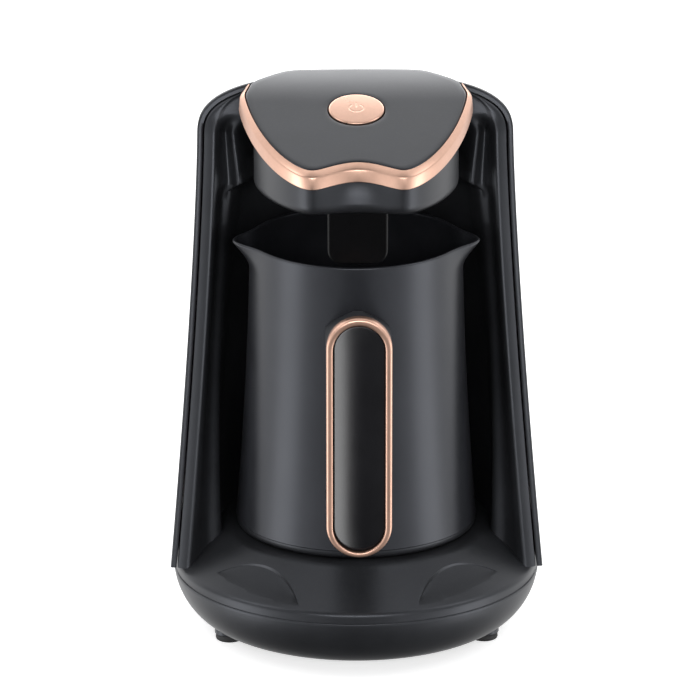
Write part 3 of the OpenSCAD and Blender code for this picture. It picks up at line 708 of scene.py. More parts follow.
def lid_shape(radius):
    """The lid: a plate with a rounded edge and a round hole for the button."""
    gap, steps, rear_half = 0.35, 200, 43.9
    right = smooth_line([point(*p) for p in LID_REAR] + [point(-10, 29.9)], 6)[:-6]
    rear = [point(x * (1 - gap / rear_half), LOBE_Y + (y - LOBE_Y) * (1 - gap / LOBE_Y))
            for x, y in right]
    dense = lid_front(gap) + rear + [point(-p[0], p[1]) for p in rear]
    polar = sorted((atan2(p[1] - BUTTON_Y, p[0]), hypot(p[0], p[1] - BUTTON_Y)) for p in dense)
    angles = [a for a, _ in polar]
    reaches = [r for _, r in polar]
    turns = [2 * pi * k / steps - pi for k in range(steps)]
    outline = np.interp(turns, [angles[-1] - 2 * pi] + angles + [angles[0] + 2 * pi],
                        [reaches[-1]] + reaches + [reaches[0]])
    hole = BUTTON_D / 2 + 0.4

    def ring(share, inset, drop, hole_in=0.0):
        row = []
        for a, far in zip(turns, outline):
            r = mix(hole + hole_in, far - inset, share)
            x, y = r * cos(a), BUTTON_Y + r * sin(a)
            row.append((x, y, lid_top(y) - drop))
        return row

    rows = [ring(0, 0, 2.4)]
    for a in span(0, pi / 2, 4):
        rows.append(ring(0, 0, 0.4 * (1 - sin(a)), hole_in=0.4 * (1 - cos(a))))
    rows += [ring(t, radius, 0.0, hole_in=0.4) for t in span(0, 1, 16)[1:]]
    for a in span(0, pi / 2, 5)[1:]:
        rows.append(ring(1, radius * (1 - sin(a)), radius * (1 - cos(a))))
    rows += [ring(1, 0, 2.4), ring(0.5, 0, 2.4)]
    return Shape().looped(rows)


def mark_depth(x, y):
    """How far a place on the button lies inside the on mark: a broken ring and a stroke."""
    ring_r, half, open_angle, low, high = 2.9, 0.3, 32, 0.9, 4.0
    to_ring = abs(hypot(x, y) - ring_r)
    to_stroke = abs(x) if low < y < high else hypot(x, min(abs(y - low), abs(y - high)))
    if abs(degrees(atan2(x, y))) < open_angle:
        to_ring = to_stroke
    return 1 - ramp(half * 0.6, half * 1.5, min(to_ring, to_stroke))


def button_shape(radius):
    """The button: a slightly domed face with a fine mark, on its stem."""
    rows, masks, steps = [], [], 144
    face_r, crown, fall = BUTTON_D / 2, 0.9, 0.35
    for r in span(0.05, 5, 42) + span(5.4, face_r - radius, 14):
        row = []
        for x, y in circle(r, steps):
            deep = mark_depth(x, y)
            masks.append(deep)
            row.append((x, y, crown - fall * (r / face_r) ** 2 - 0.07 * deep))
        rows.append(row)
    edge = crown - fall * ((face_r - radius) / face_r) ** 2
    for a in span(0, pi / 2, 6)[1:]:
        rows.append(level_ring(face_r - radius * (1 - sin(a)), edge - radius * (1 - cos(a)), steps))
    for r, z in ((face_r, -2.6), (2.4, -2.6), (2.4, -7.0)):
        rows.append(level_ring(r, z, steps))
    shape = Shape()
    grid = shape.stack(rows, wrap=True)
    shape.fan(grid[0], (0, 0, crown))
    shape.fan(grid[-1], (0, 0, -7.0))
    masks += [0.0] * (len(shape.points) - len(masks))
    shape.masks["mark"] = masks
    return shape.placed(lid_frame())


# --- Pot -----------------------------------------------------------------------------------------


def pot_r(z):
    """Outer radius of the pot's wall at a height."""
    t = (z - VESSEL_Z) / (RIM_Z - VESSEL_Z)
    return POT_RIM_R + (POT_FOOT_R - POT_RIM_R) * max(0.0, 1 - t) ** 1.7


def pot_ring(z, inset, height=None, steps=180):
    """The pot's plan at a height, with its two pouring spouts near the rim."""
    lift = ramp(RIM_Z - 13, RIM_Z + 3, z) ** 1.2 * 1.14
    row = []
    for k in range(steps):
        a = 360.0 * k / steps
        off = min(abs(a - spout) for spout in SPOUTS_AT)
        r = pot_r(z) - inset + exp(-(off / SPOUT_SPREAD) ** 2) * (SPOUT_R - POT_RIM_R) * lift
        row.append((r * cos(radians(a)), r * sin(radians(a)), z if height is None else height))
    return row


def pot_shape(lip):
    """The pot: outer wall, rolled lip, inner wall, rounded floor, and the rebate below it."""
    corner, rebate_r, steps = 6.0, 47.6, 180
    rows = [pot_ring(z, 0) for z in [VESSEL_Z, VESSEL_Z + 0.4] + span(50, 150, 26)
            + span(152, RIM_Z - lip, 26)]
    for a in span(0, pi, 10)[1:-1]:
        rows.append(pot_ring(RIM_Z - lip, POT_WALL / 2 * (1 - cos(a)), RIM_Z - lip + lip * sin(a)))
    rows += [pot_ring(z, POT_WALL) for z in span(RIM_Z - lip, 152, 22) + span(150, 68, 12)]
    for a in span(0, pi / 2, 7)[1:]:
        rows.append(pot_ring(FLOOR_Z + corner, POT_WALL + corner * (1 - cos(a)),
                             FLOOR_Z + corner * (1 - sin(a))))
    rows += [level_ring(r, FLOOR_Z, steps) for r in (30, 18, 8, 2)]
    shape = Shape()
    grid = shape.stack(rows, wrap=True)
    shape.fan(grid[-1], (0, 0, FLOOR_Z))
    under = FLOOR_Z - 1.8
    below = shape.stack([level_ring(r, z, steps) for r, z in
                         ((rebate_r, VESSEL_Z), (rebate_r, under), (20, under))], wrap=True)
    shape.strip(grid[0], below[0], wrap=True)
    shape.fan(below[-1], (0, 0, under))
    return shape


def band_shape(radius):
    """The rose band: a ring of uneven width with a rounded face."""
    outer = stadium(GRIP_HALF, GRIP_Z0, GRIP_Z1)
    inner = stadium(GRIP_HALF - BAND_SIDE, GRIP_Z0 + BAND_BOTTOM, GRIP_Z1 - BAND_TOP)
    front, rows = -HANDLE_Y, []
    for outside, inside in zip(outer, inner):
        reach = np.linalg.norm(inside - outside)
        way, bend = (inside - outside) / reach, radius * reach / BAND_SIDE
        section = rounded_outline(
            [point(0, GRIP_FRONT), point(0, front), point(reach, front + 0.15),
             point(reach, GRIP_FRONT)], [0, bend * 1.35, bend * 0.85, 0], 8)
        rows.append([(outside[0] + way[0] * s, y, outside[1] + way[1] * s) for s, y in section])
    return Shape().looped(rows)


def inlay_shape():
    """The gloss inlay, crowned a little across its width."""
    half = GRIP_HALF - BAND_SIDE - 0.05
    z0, z1 = GRIP_Z0 + BAND_BOTTOM + 0.05, GRIP_Z1 - BAND_TOP - 0.05
    outline = stadium(half, z0, z1)
    spine = [point(0, min(max(p[1], z0 + half), z1 - half)) for p in outline]
    front, crown = -HANDLE_Y + 1.0, 1.1
    rows = []
    for t in (0.0, 0.02, 0.04, 0.08, 0.14, 0.22, 0.32, 0.44, 0.56, 0.68, 0.8, 0.9, 1.0):
        row = []
        for p, s in zip(outline, spine):
            q = mix(p, s, t)
            edge = 0.35 * (1 - min(1, t / 0.04)) ** 2
            row.append((q[0], front + crown * (1 - t) ** 2 + edge, q[1]))
        rows.append(row)
    shape = Shape()
    grid = shape.stack(rows, wrap=True)
    spine_row = grid[-1]
    for i in range(len(spine_row) // 2 - 1):
        j = len(spine_row) - 1 - i
        shape.faces.append((spine_row[i], spine_row[i + 1], spine_row[j - 1], spine_row[j]))
    back = shape.row([(p[0], GRIP_FRONT, p[1]) for p in outline])
    shape.strip(grid[0], back, wrap=True)
    shape.faces.append(tuple(back))
    return shape


def grip_shape():
    """The handle: two arms from the pot and an upright grip with a finger gap behind it."""
    front = GRIP_FRONT

    def half_at(z):
        half = GRIP_HALF
        if z < GRIP_Z0 + half:
            return sqrt(max(0.0, half * half - (GRIP_Z0 + half - z) ** 2))
        if z > GRIP_Z1 - half:
            return sqrt(max(0.0, half * half - (z - GRIP_Z1 + half) ** 2))
        return half

    def pot_back(x, z):
        return -sqrt((pot_r(z) + 0.05) ** 2 - x * x)

    gap = smooth_line([point(*p) for p in (
        (-52, 74), (-60, 74.8), (-66.5, 78), (-71, 84), (-73.3, 92), (-73.8, 107),
        (-73.3, 122), (-71, 130), (-66.5, 135.8), (-60, 138.6), (-52, 138.8))], 5)
    gap.append(point(-52, 138.8))
    # each slice: height in front, depth at the back or None at the pot, height and rounding there
    slices = []
    for z in [59.7, 59.9, 60.3, 61, 62, 63.5, 65.5, 68, 71, 73.4]:
        slices.append((z, None, max(z, 60.2), 0.4))
    slices.append((73.8, None, 74.0, 0.8))
    total = len(gap) - 1
    for i, p in enumerate(gap):
        share = i / total
        slices.append((mix(74.2, 138.6, share), p[0], p[1],
                       mix(1.0, 3.6, ramp(0, 0.2, share) * (1 - ramp(0.8, 1, share)))))
    slices.append((139.0, None, 138.6, 0.8))
    for i, z in enumerate([140.5, 143, 146, 149, 152, 154.5, 156.5, 158.3, 159.6, 160.4, 160.9]):
        t = (i + 1) / 11
        slices.append((z, None, mix(138.8, 150.4, t), 0.4))
    rows = []
    for front_z, back_y, back_z, rounding in slices:
        row = []
        depth = (pot_back(0, back_z) if back_y is None else back_y) - front
        section = rounded_outline(
            [point(-GRIP_HALF, 0), point(GRIP_HALF, 0), point(GRIP_HALF, depth),
             point(-GRIP_HALF, depth)], [1.0, 1.0, rounding * 2, rounding * 2], 7)
        extra, per_corner = [], len(section) // 4
        for i, p in enumerate(section):
            extra.append(p)
            if i % per_corner == per_corner - 1:
                extra += [mix(p, section[(i + 1) % len(section)], t) for t in (0.25, 0.5, 0.75)]
        for u, v in extra:
            share = v / depth
            z = mix(front_z, back_z, share)
            x = u / GRIP_HALF * half_at(front_z if front_z > 139 else z)
            y = front + v
            if back_y is None:
                y = mix(front, pot_back(x, z), share) if share < 1 else pot_back(x, z)
                y = min(y, pot_back(x, z))
            row.append((x, y, z))
        rows.append(row)
    return Shape().capped(rows)


# --- Base ----------------------------------------------------------------------------------------


def bowl_side(inset, steps):
    """The bowl's curved side as (radius, height)."""
    return [point(BOWL_FOOT_R + (BASE_R - BOWL_FOOT_R - inset) * (1 - cos(a) ** 1.7) ** (1 / 1.8),
                  SEAM_Z - (SEAM_Z - BOWL_Z - inset) * cos(a)) for a in span(0, pi / 2, steps)]


def bowl_shape(seam):
    """The bowl: foot, curved side, rounded seam edge and the inside of its wall."""
    outer = bowl_side(0, 28)[1:-1] + [point(BASE_R, SEAM_Z - 1.2)]
    profile = ([point(50, 6.1), point(52.3, 6.1), point(52.3, BOWL_Z), point(57.6, BOWL_Z)]
               + outer
               + rounded_corner(point(BASE_R, SEAM_Z - 2), point(BASE_R, SEAM_Z),
                                point(BASE_R - WALL, SEAM_Z), seam, 4)
               + [point(BASE_R - WALL, SEAM_Z)]
               + list(reversed(bowl_side(WALL, 14)[1:-1])) + [point(50, BOWL_Z + WALL)])
    return Shape().looped([base_loop(r, z) for r, z in profile])


def cover_shape():
    """The cover: a short upright band, the slope and the pot's seat, with the wall below."""
    slope_out, slope_in, steps = point(COVER_R, BAND_Z), point(SEAT_R, SEAT_Z), 96
    profile = ([point(COVER_R, SEAM_Z)]
               + rounded_corner(point(COVER_R, SEAM_Z), slope_out, slope_in, 1.5, 6)
               + [mix(slope_out, slope_in, t) for t in span(0.1, 0.9, 12)]
               + rounded_corner(slope_out, slope_in, point(0, SEAT_Z), 2.2, 6)
               + [point(r, SEAT_Z) for r in (48, 30, 12, 1)])
    under = [point(COVER_R - COVER_WALL, SEAM_Z), point(COVER_R - COVER_WALL, BAND_Z - 0.9),
             point(SEAT_R, SEAT_Z - COVER_WALL), point(1, SEAT_Z - COVER_WALL)]
    shape = Shape()
    grid = shape.stack([base_loop(r, z, steps) for r, z in profile], wrap=True)
    shape.faces.append(tuple(grid[-1]))
    low = shape.stack([base_loop(r, z, steps) for r, z in under], wrap=True)
    shape.strip(grid[0], low[0], wrap=True)
    shape.faces.append(tuple(low[-1]))
    return shape


def within_round(name, rows, hand, radius, steps):
    """What a tube of the rows shares with an upright round bar about one recess's middle."""
    piece = mesh_object(name, Shape().capped(rows))
    tube = bar(circle(radius, steps, CRESCENT_X * hand, CRESCENT_Y), 25, 62)
    cut(piece, [tube], operation="INTERSECT")
    made = Shape()
    made.points = [tuple(c / MM for c in v.co) for v in piece.data.vertices]
    made.faces = [tuple(p.vertices) for p in piece.data.polygons]
    bpy.data.objects.remove(piece)
    return made


def crescent_cutter(hand):
    """The room of one front recess: an upright round cut with its floor along the slope and a
    flatter ledge, both fading out to the side."""
    near, far, top, ledge_fall = SEAT_R - 1, 78, 60.0, 0.29
    rows = []
    for turn in span(12, 66, 90):
        a, deep = radians(270 + hand * turn), 0.04 + 1.9 * (1 - ramp(14, 66, turn)) ** 0.8
        ledge_z = SEAT_Z - COVER_FALL * (CRESCENT_LEDGE - SEAT_R) - deep
        section = [(near, top), (far, top), (far, ledge_z - ledge_fall * (far - CRESCENT_LEDGE)),
                   (CRESCENT_LEDGE, ledge_z),
                   (near, ledge_z + COVER_FALL * (CRESCENT_LEDGE - near))]
        rows.append([(r * cos(a), r * sin(a), z) for r, z in section])
    return within_round("crescent_room", rows, hand, CRESCENT_R, 120)


def crescent_lining(hand):
    """The thicker wall under one front recess."""
    near, middle_r, far, low = 56.2, 64.3, 72.6, 30.9
    section = ([(near, 41.4), (middle_r, low), (far, low)]
               + [(r, SEAT_Z - (r - SEAT_R) * COVER_FALL - 0.9) for r in (far, near)])
    middle = degrees(atan2(CRESCENT_Y, CRESCENT_X * hand))
    rows = [[(r * cos(a), r * sin(a), z) for r, z in section]
            for a in (radians(t) for t in span(middle - 29, middle + 29, 60))]
    return within_round("lining_room", rows, hand, CRESCENT_R + 1.6, 90)


FOOT_PROFILE = [(0.0, 0.35), (2.2, 0.35), (2.6, 0.0), (3.9, 0.0), (4.2, 0.3), (4.5, 0.0),
                (5.0, 0.0), (5.55, 0.35), (5.8, 1.0), (5.7, 2.4), (5.4, 2.8), (2.5, 2.8),
                (2.5, 10.5), (0.0, 10.5)]
BOSS_PROFILE = [(0.0, 2.82), (5.9, 2.82), (6.2, 3.1), (6.2, 9.2), (0.0, 9.2)]
CUP_PROFILE = [(1.8, 0.0), (4.6, 0.0), (4.6, 7.6), (3.52, 7.6), (3.52, 4.5), (1.8, 4.5),
               (1.8, 0.0)]


def turned_set(profile, steps, places):
    """The same turned form at each of the places, which are matrices."""
    shape = Shape()
    for place in places:
        shape.add(lathe(profile, steps).placed(place))
    return shape


def screw_shape(shank, head, length_mm):
    """A pan-head screw with a cross recess; its head rises from z = 0."""
    steps, height, recess, rows = 48, 1.8, 0.9, []
    for r in span(0.05, head * 0.62, 16) + [head * k for k in (0.7, 0.8, 0.88, 0.94, 0.98, 1.0)]:
        row = []
        for x, y in circle(r, steps):
            top = height * (1 - 0.75 * max(0.0, (r / head - 0.35) / 0.65) ** 2.6)
            slot = 1 - ramp(0.22, 0.42, min(abs(x), abs(y)))
            slot *= 1 - ramp(head * 0.42, head * 0.56, r)
            row.append((x, y, top - recess * slot))
        rows.append(row)
    for r, z in ((head, 0.0), (shank, 0.0), (shank, -length_mm + 0.8), (0.4, -length_mm)):
        rows.append(level_ring(r, z, steps))
    shape = Shape()
    grid = shape.stack(rows, wrap=True)
    shape.fan(grid[0], (0, 0, height - recess))
    shape.fan(grid[-1], (0, 0, -length_mm))
    return shape


# --- Finishes ------------------------------------------------------------------------------------


class Tree:
    """Short hands for one node tree."""

    def __init__(self, tree):
        self.tree = tree

    def node(self, kind, **settings):
        made = self.tree.nodes.new(kind)
        for key, value in settings.items():
            setattr(made, key, value)
        return made

    def join(self, source, target):
        self.tree.links.new(source, target)

    def place(self):
        """Where a point of the surface lies on its piece."""
        return self.node("ShaderNodeTexCoord").outputs["Object"]

    def maths(self, operation, a, b=None, clamp=False):
        made = self.node("ShaderNodeMath", operation=operation, use_clamp=clamp)
        for socket, value in zip(made.inputs, (a, b)):
            if value is None:
                continue
            if isinstance(value, (int, float)):
                socket.default_value = value
            else:
                self.join(value, socket)
        return made.outputs[0]

    def stretch(self, source, low, high, to_low=0.0, to_high=1.0):
        made = self.node("ShaderNodeMapRange")
        self.join(source, made.inputs["Value"])
        for label, value in (("From Min", low), ("From Max", high), ("To Min", to_low),
                             ("To Max", to_high)):
            made.inputs[label].default_value = value
        return made.outputs["Result"]


def effect_group(name, inputs, outputs):
    """An empty group for one effect, with its sockets."""
    group, kind = bpy.data.node_groups.new(name, "ShaderNodeTree"), "NodeSocketFloat"
    for label, value in inputs:
        made = group.interface.new_socket(label, in_out="INPUT", socket_type=kind)
        made.default_value = value
    for label in outputs:
        group.interface.new_socket(label, in_out="OUTPUT", socket_type=kind)
    tree = Tree(group)
    return group, tree, tree.node("NodeGroupInput").outputs, tree.node("NodeGroupOutput").inputs


def noise(tree, vector, scale, detail=2.0, roughness=0.5):
    made = tree.node("ShaderNodeTexNoise")
    made.inputs["Detail"].default_value = detail
    made.inputs["Roughness"].default_value = roughness
    if isinstance(scale, (int, float)):
        made.inputs["Scale"].default_value = scale
    else:
        tree.join(scale, made.inputs["Scale"])
    tree.join(vector, made.inputs["Vector"])
    return made.outputs["Fac"]


@cache
def moulded_grain():
    """Fine spark-eroded grain of a moulding, with faint handling haze."""
    group, tree, given, out = effect_group(
        "moulded_grain", [("Grain", 1500.0), ("Haze", 0.05), ("Roughness", 0.4)],
        ["Height", "Roughness", "Shade"])
    place = tree.place()
    fine = noise(tree, place, given["Grain"], 2.0, 0.6)
    tree.join(fine, out["Height"])
    broad = tree.stretch(noise(tree, place, 14.0, 4.0, 0.6), 0.3, 0.7, -1.0, 1.0)
    small = tree.stretch(noise(tree, place, 120.0, 3.0, 0.6), 0.3, 0.7, -0.35, 0.35)
    haze = tree.maths("MULTIPLY", tree.maths("ADD", broad, small), given["Haze"])
    tree.join(tree.maths("ADD", haze, given["Roughness"]), out["Roughness"])
    tree.join(tree.stretch(noise(tree, place, 30.0, 5.0, 0.65), 0.35, 0.65), out["Shade"])
    return group


@cache
def rubbed_edges():
    """A mask that is 1 on convex edges, broken up so that it looks rubbed."""
    group, tree, given, out = effect_group("rubbed_edges", [("Amount", 0.5)], ["Mask"])
    place = tree.place()
    sharp = tree.stretch(tree.node("ShaderNodeNewGeometry").outputs["Pointiness"], 0.515, 0.6)
    broken = tree.stretch(noise(tree, place, 220.0, 4.0, 0.7), 0.35, 0.62)
    mask = tree.maths("MULTIPLY", sharp, broken, clamp=True)
    tree.join(tree.maths("MULTIPLY", mask, given["Amount"]), out["Mask"])
    return group


@cache
def settled_dust():
    """A mask of fine dust that lies on faces turned up."""
    group, tree, given, out = effect_group("settled_dust", [("Amount", 0.1)], ["Mask"])
    place = tree.place()
    up = tree.node("ShaderNodeSeparateXYZ")
    tree.join(tree.node("ShaderNodeNewGeometry").outputs["Normal"], up.inputs[0])
    facing = tree.stretch(up.outputs["Z"], 0.3, 1.0)
    specks = tree.stretch(noise(tree, place, 900.0, 3.0, 0.7), 0.52, 0.75)
    mask = tree.maths("MULTIPLY", facing, specks, clamp=True)
    tree.join(tree.maths("MULTIPLY", mask, given["Amount"]), out["Mask"])
    return group


@cache
def satin_metal():
    """The soft grain of blasted and anodised metal, with faint lines along it."""
    group, tree, given, out = effect_group(
        "satin_metal", [("Grain", 2600.0), ("Roughness", 0.3), ("Lines", 0.3)],
        ["Height", "Roughness", "Shade"])
    place = tree.place()
    fine = noise(tree, place, given["Grain"], 3.0, 0.7)
    squeeze = tree.node("ShaderNodeMapping")
    squeeze.inputs["Scale"].default_value = (0.06, 0.06, 1.0)
    tree.join(place, squeeze.inputs["Vector"])
    lines = noise(tree, squeeze.outputs["Vector"], 2400.0, 2.0, 0.6)
    tree.join(tree.maths("ADD", fine, tree.maths("MULTIPLY", lines, given["Lines"])), out["Height"])
    cloudy = tree.stretch(noise(tree, place, 45.0, 4.0, 0.6), 0.3, 0.7, -0.05, 0.05)
    tree.join(tree.maths("ADD", cloudy, given["Roughness"]), out["Roughness"])
    tree.join(tree.stretch(noise(tree, place, 500.0, 3.0, 0.6), 0.3, 0.7), out["Shade"])
    return group


@cache
def board_tracks():
    """Tracks and pads of a circuit board, as masks."""
    group, tree, given, out = effect_group("board_tracks", [("Pitch", 220.0)],
                                           ["Track", "Pad", "Height"])
    place = tree.place()
    bricks = tree.node("ShaderNodeTexBrick", offset=0.35)
    bricks.inputs["Mortar Size"].default_value = 0.09
    bricks.inputs["Mortar Smooth"].default_value = 0.1
    tree.join(place, bricks.inputs["Vector"])
    tree.join(given["Pitch"], bricks.inputs["Scale"])
    dots = tree.node("ShaderNodeTexVoronoi")
    tree.join(place, dots.inputs["Vector"])
    tree.join(given["Pitch"], dots.inputs["Scale"])
    pads = tree.stretch(dots.outputs["Distance"], 0.24, 0.18)
    tree.join(bricks.outputs["Fac"], out["Track"])
    tree.join(pads, out["Pad"])
    tree.join(tree.maths("MAXIMUM", bricks.outputs["Fac"], pads), out["Height"])
    return group


COOL_SHINE = (0.86, 0.9, 1.0, 1.0)  # tint of what the black coatings mirror
COLOUR_A, COLOUR_B, COLOUR_OUT = 6, 7, 2  # a mix node's sockets for colours


def effect(tree, build, **values):
    """One use of a shared effect; its group is built at the first use."""
    made = tree.node("ShaderNodeGroup", node_tree=build())
    for label, value in values.items():
        made.inputs[label].default_value = value
    return made.outputs


def blended(tree, factor, a, b):
    """A colour between two others; each is a colour or a socket."""
    made = tree.node("ShaderNodeMix", data_type="RGBA")
    tree.join(factor, made.inputs["Factor"])
    for socket, value in ((made.inputs[COLOUR_A], a), (made.inputs[COLOUR_B], b)):
        if isinstance(value, tuple):
            socket.default_value = (*value, 1.0)
        else:
            tree.join(value, socket)
    return made.outputs[COLOUR_OUT]


def shaded(value, factor):
    """The colour made lighter or darker."""
    return tuple(min(1.0, c * factor) for c in value)


def new_finish(name, **constants):
    """An empty finish and what its nodes join to."""
    material = bpy.data.materials.new(name)
    material.use_nodes = True
    shader = material.node_tree.nodes["Principled BSDF"]
    for label, value in constants.items():
        shader.inputs[label.replace("_", " ")].default_value = value
    return material, Tree(material.node_tree), shader.inputs


def bump(tree, shader, height, strength, distance):
    """Relief from a height."""
    made = tree.node("ShaderNodeBump")
    made.inputs["Strength"].default_value = strength
    made.inputs["Distance"].default_value = distance * MM
    tree.join(height, made.inputs["Height"])
    tree.join(made.outputs["Normal"], shader["Normal"])


def moulded(name, value, roughness, grain=1500.0, depth=0.02, haze=0.04, edge=0.35, dust=0.1,
            tint=1.25, **constants):
    """A moulded or coated black: grain, haze, rubbed edges and a trace of dust."""
    material, tree, shader = new_finish(name, **constants)
    grained = effect(tree, moulded_grain, Grain=grain, Haze=haze, Roughness=roughness)
    rubbed = effect(tree, rubbed_edges, Amount=edge)
    dusty = effect(tree, settled_dust, Amount=dust)
    ground = blended(tree, grained["Shade"], shaded(value, 1 / tint), shaded(value, tint))
    ground = blended(tree, rubbed["Mask"], ground, shaded(value, 2.6))
    ground = blended(tree, dusty["Mask"], ground, (0.22, 0.21, 0.2))
    tree.join(ground, shader["Base Color"])
    tree.join(tree.maths("ADD", grained["Roughness"], tree.maths("MULTIPLY", dusty["Mask"], 0.6)),
              shader["Roughness"])
    bump(tree, shader, grained["Height"], 0.5, depth)
    return material


def metal(name, value, roughness, lines=0.3, grain=2600.0, depth=0.004, mark=False, **constants):
    """A satin metal; a marked one is lighter inside its mark."""
    material, tree, shader = new_finish(name, Metallic=1.0, **constants)
    satin = effect(tree, satin_metal, Grain=grain, Roughness=roughness, Lines=lines)
    rubbed = effect(tree, rubbed_edges, Amount=0.01)
    ground = blended(tree, satin["Shade"], shaded(value, 0.97), shaded(value, 1.03))
    ground = blended(tree, rubbed["Mask"], ground, shaded(value, 1.25))
    rough = satin["Roughness"]
    if mark:
        place = tree.node("ShaderNodeAttribute", attribute_name="mark").outputs["Fac"]
        ground = blended(tree, place, ground, shaded(value, 1.06))
        rough = tree.maths("ADD", rough, tree.maths("MULTIPLY", place, 0.05))
    tree.join(ground, shader["Base Color"])
    tree.join(rough, shader["Roughness"])
    bump(tree, shader, satin["Height"], 0.4, depth)
    return material


@cache
def circuit_board():
    material, tree, shader = new_finish("board_green", Coat_Weight=0.4)
    tracks = effect(tree, board_tracks, Pitch=210.0)
    grained = effect(tree, moulded_grain, Grain=900.0, Haze=0.05, Roughness=0.34)
    ground = blended(tree, tracks["Track"], (0.012, 0.09, 0.035), (0.03, 0.17, 0.06))
    ground = blended(tree, tracks["Pad"], ground, (0.62, 0.6, 0.55))
    tree.join(ground, shader["Base Color"])
    tree.join(tracks["Pad"], shader["Metallic"])
    tree.join(grained["Roughness"], shader["Roughness"])
    bump(tree, shader, tracks["Height"], 0.5, 0.03)
    return material


@cache
def wound_tape():
    """Yellow tape over a winding in overlapping turns, each darker brown at one edge."""
    material, tree, shader = new_finish("tape_yellow")
    turns = tree.node("ShaderNodeTexWave", bands_direction="Z", wave_profile="SAW")
    turns.inputs["Scale"].default_value = 90.0
    turns.inputs["Distortion"].default_value = 0.6
    tree.join(tree.place(), turns.inputs["Vector"])
    grained = effect(tree, moulded_grain, Grain=700.0, Haze=0.06, Roughness=0.42)
    ground = blended(tree, turns.outputs["Fac"], (0.46, 0.3, 0.04), (0.66, 0.47, 0.08))
    tree.join(blended(tree, grained["Shade"], ground, (0.5, 0.33, 0.05)), shader["Base Color"])
    tree.join(grained["Roughness"], shader["Roughness"])
    bump(tree, shader, turns.outputs["Fac"], 0.5, 0.05)
    return material


def colours():
    return bpy.context.scene.coffee_colours


@cache
def satin_black():
    return moulded("satin_black", tuple(colours().black), 0.36, grain=1700.0, depth=0.010,
                   haze=0.03, edge=0.35, dust=0.04, Specular_IOR_Level=0.5,
                   Specular_Tint=COOL_SHINE)


@cache
def pot_black():
    return moulded("pot_black", tuple(colours().pot), 0.33, grain=2100.0, depth=0.008,
                   haze=0.025, edge=0.5, dust=0.02, Specular_IOR_Level=0.5,
                   Specular_Tint=COOL_SHINE)


@cache
def lid_black():
    return moulded("lid_black", tuple(colours().lid), 0.3, grain=2000.0, depth=0.006,
                   haze=0.02, edge=0.3, dust=0.04, Specular_IOR_Level=0.45,
                   Specular_Tint=COOL_SHINE)


@cache
def gloss_black():
    return moulded("gloss_black", tuple(colours().gloss), 0.24, grain=500.0, depth=0.001,
                   haze=0.015, edge=0.1, dust=0.015, IOR=1.22)


@cache
def inner_black():
    return moulded("inner_black", (0.02, 0.02, 0.021), 0.5, grain=1300.0, depth=0.02)


@cache
def rubber_black():
    return moulded("rubber_black", tuple(colours().rubber), 0.72, grain=1100.0, depth=0.04,
                   haze=0.06, edge=0.6, dust=0.25)


@cache
def rose_gold():
    return metal("rose_gold", tuple(colours().rose), 0.36, lines=0.0, depth=0.001)


@cache
def rose_gold_marked():
    return metal("rose_gold_marked", tuple(colours().rose), 0.3, lines=1.0, mark=True)


@cache
def bright_steel():
    return metal("bright_steel", tuple(colours().steel), 0.32, lines=0.5)


@cache
def cast_alloy():
    return metal("cast_alloy", (0.5, 0.5, 0.51), 0.48, lines=0.1, grain=1200.0, depth=0.02)


@cache
def contact_brass():
    return metal("contact_brass", (0.78, 0.57, 0.25), 0.25, lines=0.6)


@cache
def relay_blue():
    return moulded("relay_blue", (0.02, 0.11, 0.36), 0.33, depth=0.01, tint=1.1)


@cache
def switch_red():
    return moulded("switch_red", (0.25, 0.02, 0.015), 0.35, depth=0.01, tint=1.1)


@cache
def fired_ceramic():
    return moulded("fired_ceramic", (0.62, 0.58, 0.5), 0.5, grain=900.0, depth=0.03, tint=1.08)


@cache
def dark_window():
    return moulded("dark_window", (0.03, 0.004, 0.006), 0.08, grain=500.0, depth=0.002,
                   edge=0.0, dust=0.01, Coat_Weight=0.6)


def inner_finishes():
    """The finish of each frame node that keeps its own shape."""
    return {
        "base_plate": inner_black, "head_floor": satin_black, "lid_carrier": inner_black,
        "sensor_board": circuit_board, "socket_block": inner_black,
        "socket_contacts": contact_brass, "power_board": circuit_board,
        "power_transformer": wound_tape, "relay": relay_blue, "fuse_clip": bright_steel,
        "control_board": circuit_board, "buzzer": inner_black, "switch_body": inner_black,
        "switch_plunger": switch_red, "heater_plate": cast_alloy,
        "heating_element": bright_steel, "pot_thermostat": fired_ceramic,
        "pot_plug": inner_black, "plug_pins": contact_brass, "handle_studs": bright_steel,
    }


# --- Operators -----------------------------------------------------------------------------------


def edges():
    return bpy.context.scene.coffee_edges


class COFFEE_OT_base(bpy.types.Operator):
    """Build the bowl, its cover with the front recesses, and the rubber feet"""

    bl_idname = "coffee.base"
    bl_label = "Base"

    def execute(self, context):
        seam = edges().seam / MM
        bowl = mesh_object("bowl", bowl_shape(seam))
        dress(bowl, satin_black(), "base", "satin_black", "base_bowl")
        cover = mesh_object("seat_cover", cover_shape())
        cut(cover, [crescent_lining(-1), crescent_lining(1)], operation="UNION")
        cut(cover, [crescent_cutter(-1), crescent_cutter(1)], sharp=25)
        dress(soften(cover, 0.35, 2, 28), satin_black(), "base", "satin_black", "base_cover")
        places = [Matrix.Translation((x, y, 0)) for x, y in FEET]
        bosses = mesh_object("foot_bosses", turned_set(BOSS_PROFILE, 48, places), 40)
        dress(bosses, satin_black(), "base", "satin_black")
        feet = mesh_object("feet", turned_set(FOOT_PROFILE, 48, places), 40)
        dress(feet, rubber_black(), "base", "black_rubber", "rubber_feet")
        return {"FINISHED"}


